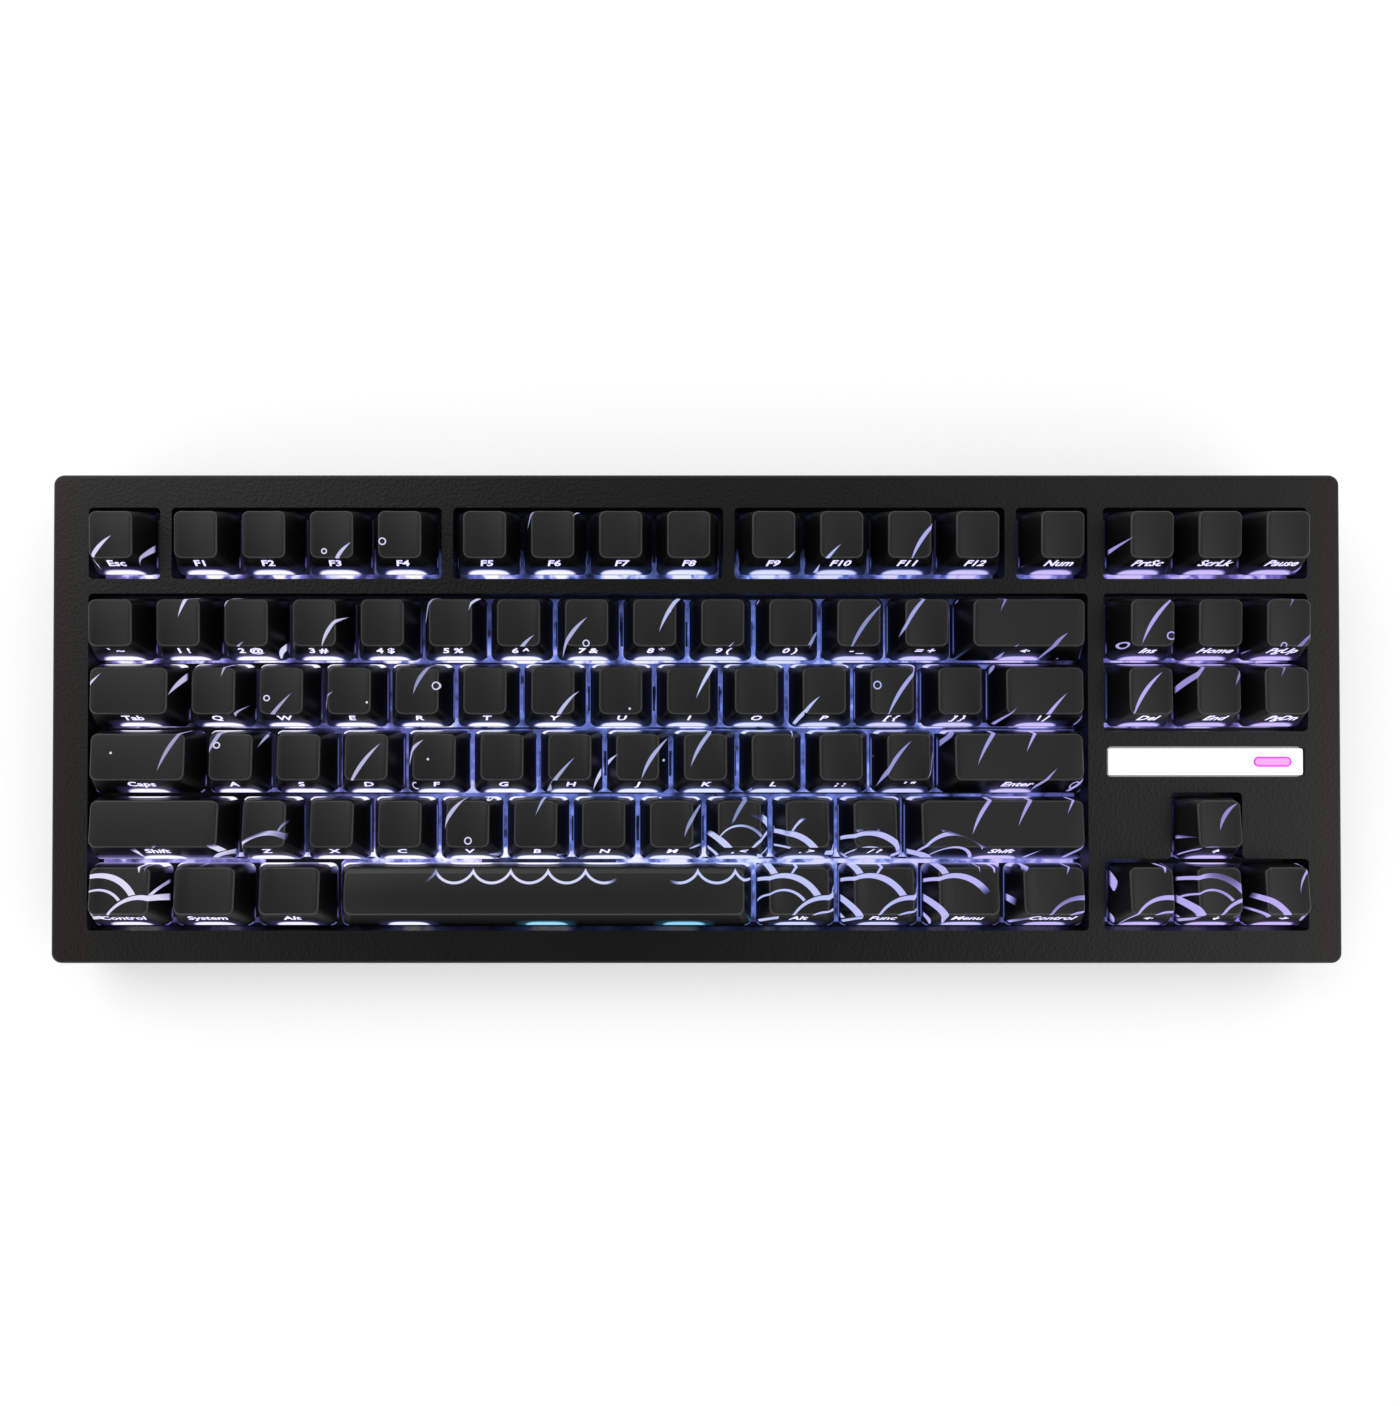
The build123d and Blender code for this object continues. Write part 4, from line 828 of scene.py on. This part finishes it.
# for each key: its node, its middle on the plate in metres, its width, its lamps in mm from it
keyPlaces = []
for name, (row, words) in keyLegends.items():
    low, high = deckBox(name)
    units = round((((high.x - low.x) / mm + cap["gap"]) / len(words) / cap["pitch"]) * 4) / 4
    for index in range(len(words)):
        x = low.x + ((0.5 + index) * units * cap["pitch"] - cap["gap"] / 2) * mm
        lamps = cap["spaceLamps"] if name == "key_space" else (0.0,)
        keyPlaces.append((name, Vector((x, (low.y + high.y) / 2, plateLevel)), units, lamps))
allLamps = [(spot.x / mm + lamp, spot.y / mm) for _, spot, _, lamps in keyPlaces for lamp in lamps]


def lampsBehind(centre):  # across from this key's middle, the lamps of the row behind it
    rear = centre.y / mm + cap["pitch"]
    return [x - centre.x / mm for x, y in allLamps if abs(y - rear) < 2]


capMeshes, legendMeshes = {}, {}
for name, (row, words) in keyLegends.items():
    places = [(centre, units) for node, centre, units, _ in keyPlaces if node == name]
    units = places[0][1]
    if (units, row) not in capMeshes:
        capMeshes[units, row] = makeCapMesh(units, row)
    capMesh, foot, edge = capMeshes[units, row]
    bm = bmesh.new()
    wallUp = (edge - foot).normalized()
    wallOut = Vector((1, 0, 0)).cross(wallUp)
    for word, (centre, _) in zip(words, places):
        settle = fromDeck.to_4x4() @ Matrix.Translation(centre) @ Matrix.Scale(mm, 4)
        addMesh(bm, capMesh, settle, 0, lampsBehind(centre))
        if word:
            if word not in legendMeshes:
                legendMeshes[word] = makeLegendMesh(word)
            spot = foot + (edge - foot) * (1 - legend["fromTop"]) + wallOut * legend["proud"]
            wall = Matrix((Vector((1, 0, 0)), wallUp, wallOut)).transposed().to_4x4()
            narrow = Matrix.Scale(legend["narrow"], 4, (1, 0, 0))
            addMesh(bm, legendMeshes[word], settle @ Matrix.Translation(spot) @ wall @ narrow, 1)
    addMesh(bm, stemsOf(name), Matrix.Identity(4), 2)
    mesh = meshFrom(bm, "caps_" + name)
    for material in (capMatte, legendGlow, stemPlastic):
        mesh.materials.append(material)
    mesh.set_sharp_from_angle(angle=math.radians(38))
    piece = addObject("caps_" + name, mesh)
    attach(piece, name + "_body")
    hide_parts(name)
print("keycaps made:", sum(len(words) for _, words in keyLegends.values()))

film = dict(lift=0.04, rim=2.2)


def makeFilm():  # a frame round each switch, seen in the gaps between the caps, that carries the painted glow of the lamps
    bm = bmesh.new()
    layer = bm.loops.layers.float_vector.new("filmPlace")
    for _, centre, units, lamps in keyPlaces:
        width, firstFace = units * cap["pitch"], len(bm.faces)
        sheet = bmesh.ops.create_grid(bm, x_segments=1, y_segments=1, size=0.5)["verts"]
        bmesh.ops.scale(bm, verts=sheet, vec=(width, cap["pitch"], 1))
        hole = sheet[0].link_faces[0]
        rim = bmesh.ops.inset_individual(bm, faces=[hole], thickness=film["rim"])["faces"]
        bmesh.ops.delete(bm, geom=[hole], context="FACES_ONLY")
        for left, right in zip(lamps, lamps[1:]):  # cut between the lamps
            cut = cutThrough(bm, rim, ((left + right) / 2, 0, 0), (1, 0, 0))
            rim = [part for part in cut if isinstance(part, bmesh.types.BMFace)]
        bm.faces.ensure_lookup_table()
        faces = bm.faces[firstFace:]
        for f in faces:
            middle = f.calc_center_median()
            nearest = min(lamps, key=lambda lamp: abs(middle.x - lamp))
            for loop in f.loops:
                spot = loop.vert.co
                loop[layer] = (spot.x - nearest, spot.y, width / 2 - abs(spot.x))
        settle = fromDeck.to_4x4() @ Matrix.Translation(centre) @ Matrix.Scale(mm, 4)
        corners = list({v for f in faces for v in f.verts})
        bmesh.ops.transform(bm, matrix=settle @ Matrix.Translation((0, 0, film["lift"])), verts=corners)
    mesh = meshFrom(bm, "plate_film")
    mesh.materials.append(makeFilmFinish())
    piece = addObject("plate_film", mesh)
    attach(piece, "case")


spring = dict(radius=1.75, wire=0.24, pitch=1.9, sides=4, steps=8)


def makeSprings():
    low, high = deckBox("switch_springs")
    height = (high.z - low.z) / mm - spring["wire"]
    turns = height / spring["pitch"]
    bm = bmesh.new()
    ring = bmesh.ops.create_circle(
        bm, segments=spring["sides"], radius=spring["wire"] / 2,
        matrix=Matrix.Translation((spring["radius"], 0, 0)) @ Matrix.Rotation(math.pi / 2, 4, "X"),
    )["verts"]
    steps = round(turns * spring["steps"])
    bmesh.ops.spin(
        bm, geom=ring + list(bm.edges), cent=(0, 0, 0), axis=(0, 0, 1), dvec=(0, 0, height / steps),
        angle=turns * math.tau, steps=steps,
    )
    bmesh.ops.contextual_create(bm, geom=[e for e in bm.edges if e.is_boundary])
    bmesh.ops.recalc_face_normals(bm, faces=bm.faces)
    coil = meshFrom(bm, "coil")
    bm = bmesh.new()
    for _, centre, _, _ in keyPlaces:
        foot = Vector((centre.x, centre.y, low.z + spring["wire"] / 2 * mm))
        addMesh(bm, coil, fromDeck.to_4x4() @ Matrix.Translation(foot) @ Matrix.Scale(mm, 4), 0)
    mesh = meshFrom(bm, "springs")
    mesh.materials.append(steelBright)
    piece = addObject("springs", mesh)
    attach(piece, "case")
    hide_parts("switch_springs")


makeFilm()
makeSprings()
print("film and springs made")

studio = dict(
    floorSize=6.0, floorTone=0.93, floorLift=0.36, overhead=0.5, horizon=1.1,
    lampPower=2.0, lampSize=0.8, leftSpot=(-0.6, 0.5, 0.8), rightSpot=(0.7, -0.3, 0.8), rightShare=0.6,
    cardAxis=(0.03, -0.32, 0.947), cardInner=math.radians(14), cardOuter=math.radians(33), cardShade=1.0,
)


def makeFloor():
    bm = bmesh.new()
    bmesh.ops.create_grid(bm, x_segments=2, y_segments=2, size=studio["floorSize"])
    mesh = meshFrom(bm, "floor")
    floor = addObject("floor", mesh)
    finish = Finish("floorPale", Roughness=0.9)
    soft = finish.noise(3.0)
    tone = studio["floorTone"]
    finish.feed("Base Color", finish.blend(soft, colour(tone, tone, tone), colour(0.96, 0.96, 0.96)))
    rays = finish.node("ShaderNodeLightPath", output="Is Camera Ray")
    finish.feed("Emission Color", finish.grey(rays.most(rays.beside("Is Glossy Ray")) * studio["floorLift"]))
    finish.feed("Emission Strength", 1.0)
    mesh.materials.append(finish.material)


def makeWorld():  # paler towards the horizon, with a dark card over the deck
    world = bpy.data.worlds.new("studio")
    bpy.context.scene.world = world
    world.use_nodes = True
    sky = Shading(world.node_tree, world.node_tree.nodes["Background"])
    rays = sky.node("ShaderNodeLightPath", output="Is Camera Ray")
    seen = rays.most(rays.beside("Is Transmission Ray"))
    way = sky.node("ShaderNodeTexCoord", output="Generated")
    _, _, up = sky.parts(way)
    soft = studio["horizon"] + abs(up).limited() * (studio["overhead"] - studio["horizon"])
    facing = sky.node(
        "ShaderNodeVectorMath", {"operation": "DOT_PRODUCT"}, {0: way, 1: studio["cardAxis"]}, output="Value"
    )
    card = smooth(facing, math.cos(studio["cardOuter"]), math.cos(studio["cardInner"])) * studio["cardShade"]
    sky.feed("Color", colour(1, 1, 1))
    sky.feed("Strength", soft * (1.0 - card) * (1.0 - seen) + seen)


def makeLamp(name, spot, power):
    data = bpy.data.lights.new(name, "AREA")
    data.energy, data.size = power, studio["lampSize"]
    lamp = addObject(name, data)
    lamp.location = spot
    lamp.rotation_mode = "QUATERNION"
    lamp.rotation_quaternion = (-Vector(spot)).to_track_quat("-Z", "Y")


# The camera looks square to the deck, a little left of the middle
view = dict(
    distance=0.282, left=-0.016, rear=0.0045, tall=0.4038, shiftX=0.0421, sensor=36.0,
    lean=math.radians(0.54),  # the front edge is a touch nearer
)


def makeCamera():
    data = bpy.data.cameras.new("camera")
    data.sensor_width = view["sensor"]
    data.lens = view["sensor"] * view["distance"] / view["tall"]
    data.shift_x = view["shiftX"]
    data.clip_start = 0.01
    camera = addObject("camera", data)
    middle = (caseLow + caseHigh) / 2
    target = Vector((middle.x + view["left"], middle.y + view["rear"], deckLevel))
    turn = fromDeck @ Matrix.Rotation(view["lean"], 3, "X")
    camera.location = fromDeck @ target + turn @ Vector((0, 0, view["distance"]))
    camera.rotation_mode = "QUATERNION"
    camera.rotation_quaternion = turn.to_quaternion()
    bpy.context.scene.camera = camera


makeFloor()
makeWorld()
makeLamp("softboxLeft", studio["leftSpot"], studio["lampPower"])
makeLamp("softboxRight", studio["rightSpot"], studio["lampPower"] * studio["rightShare"])
makeCamera()
bpy.context.scene.view_settings.view_transform = "Standard"
print("studio made")
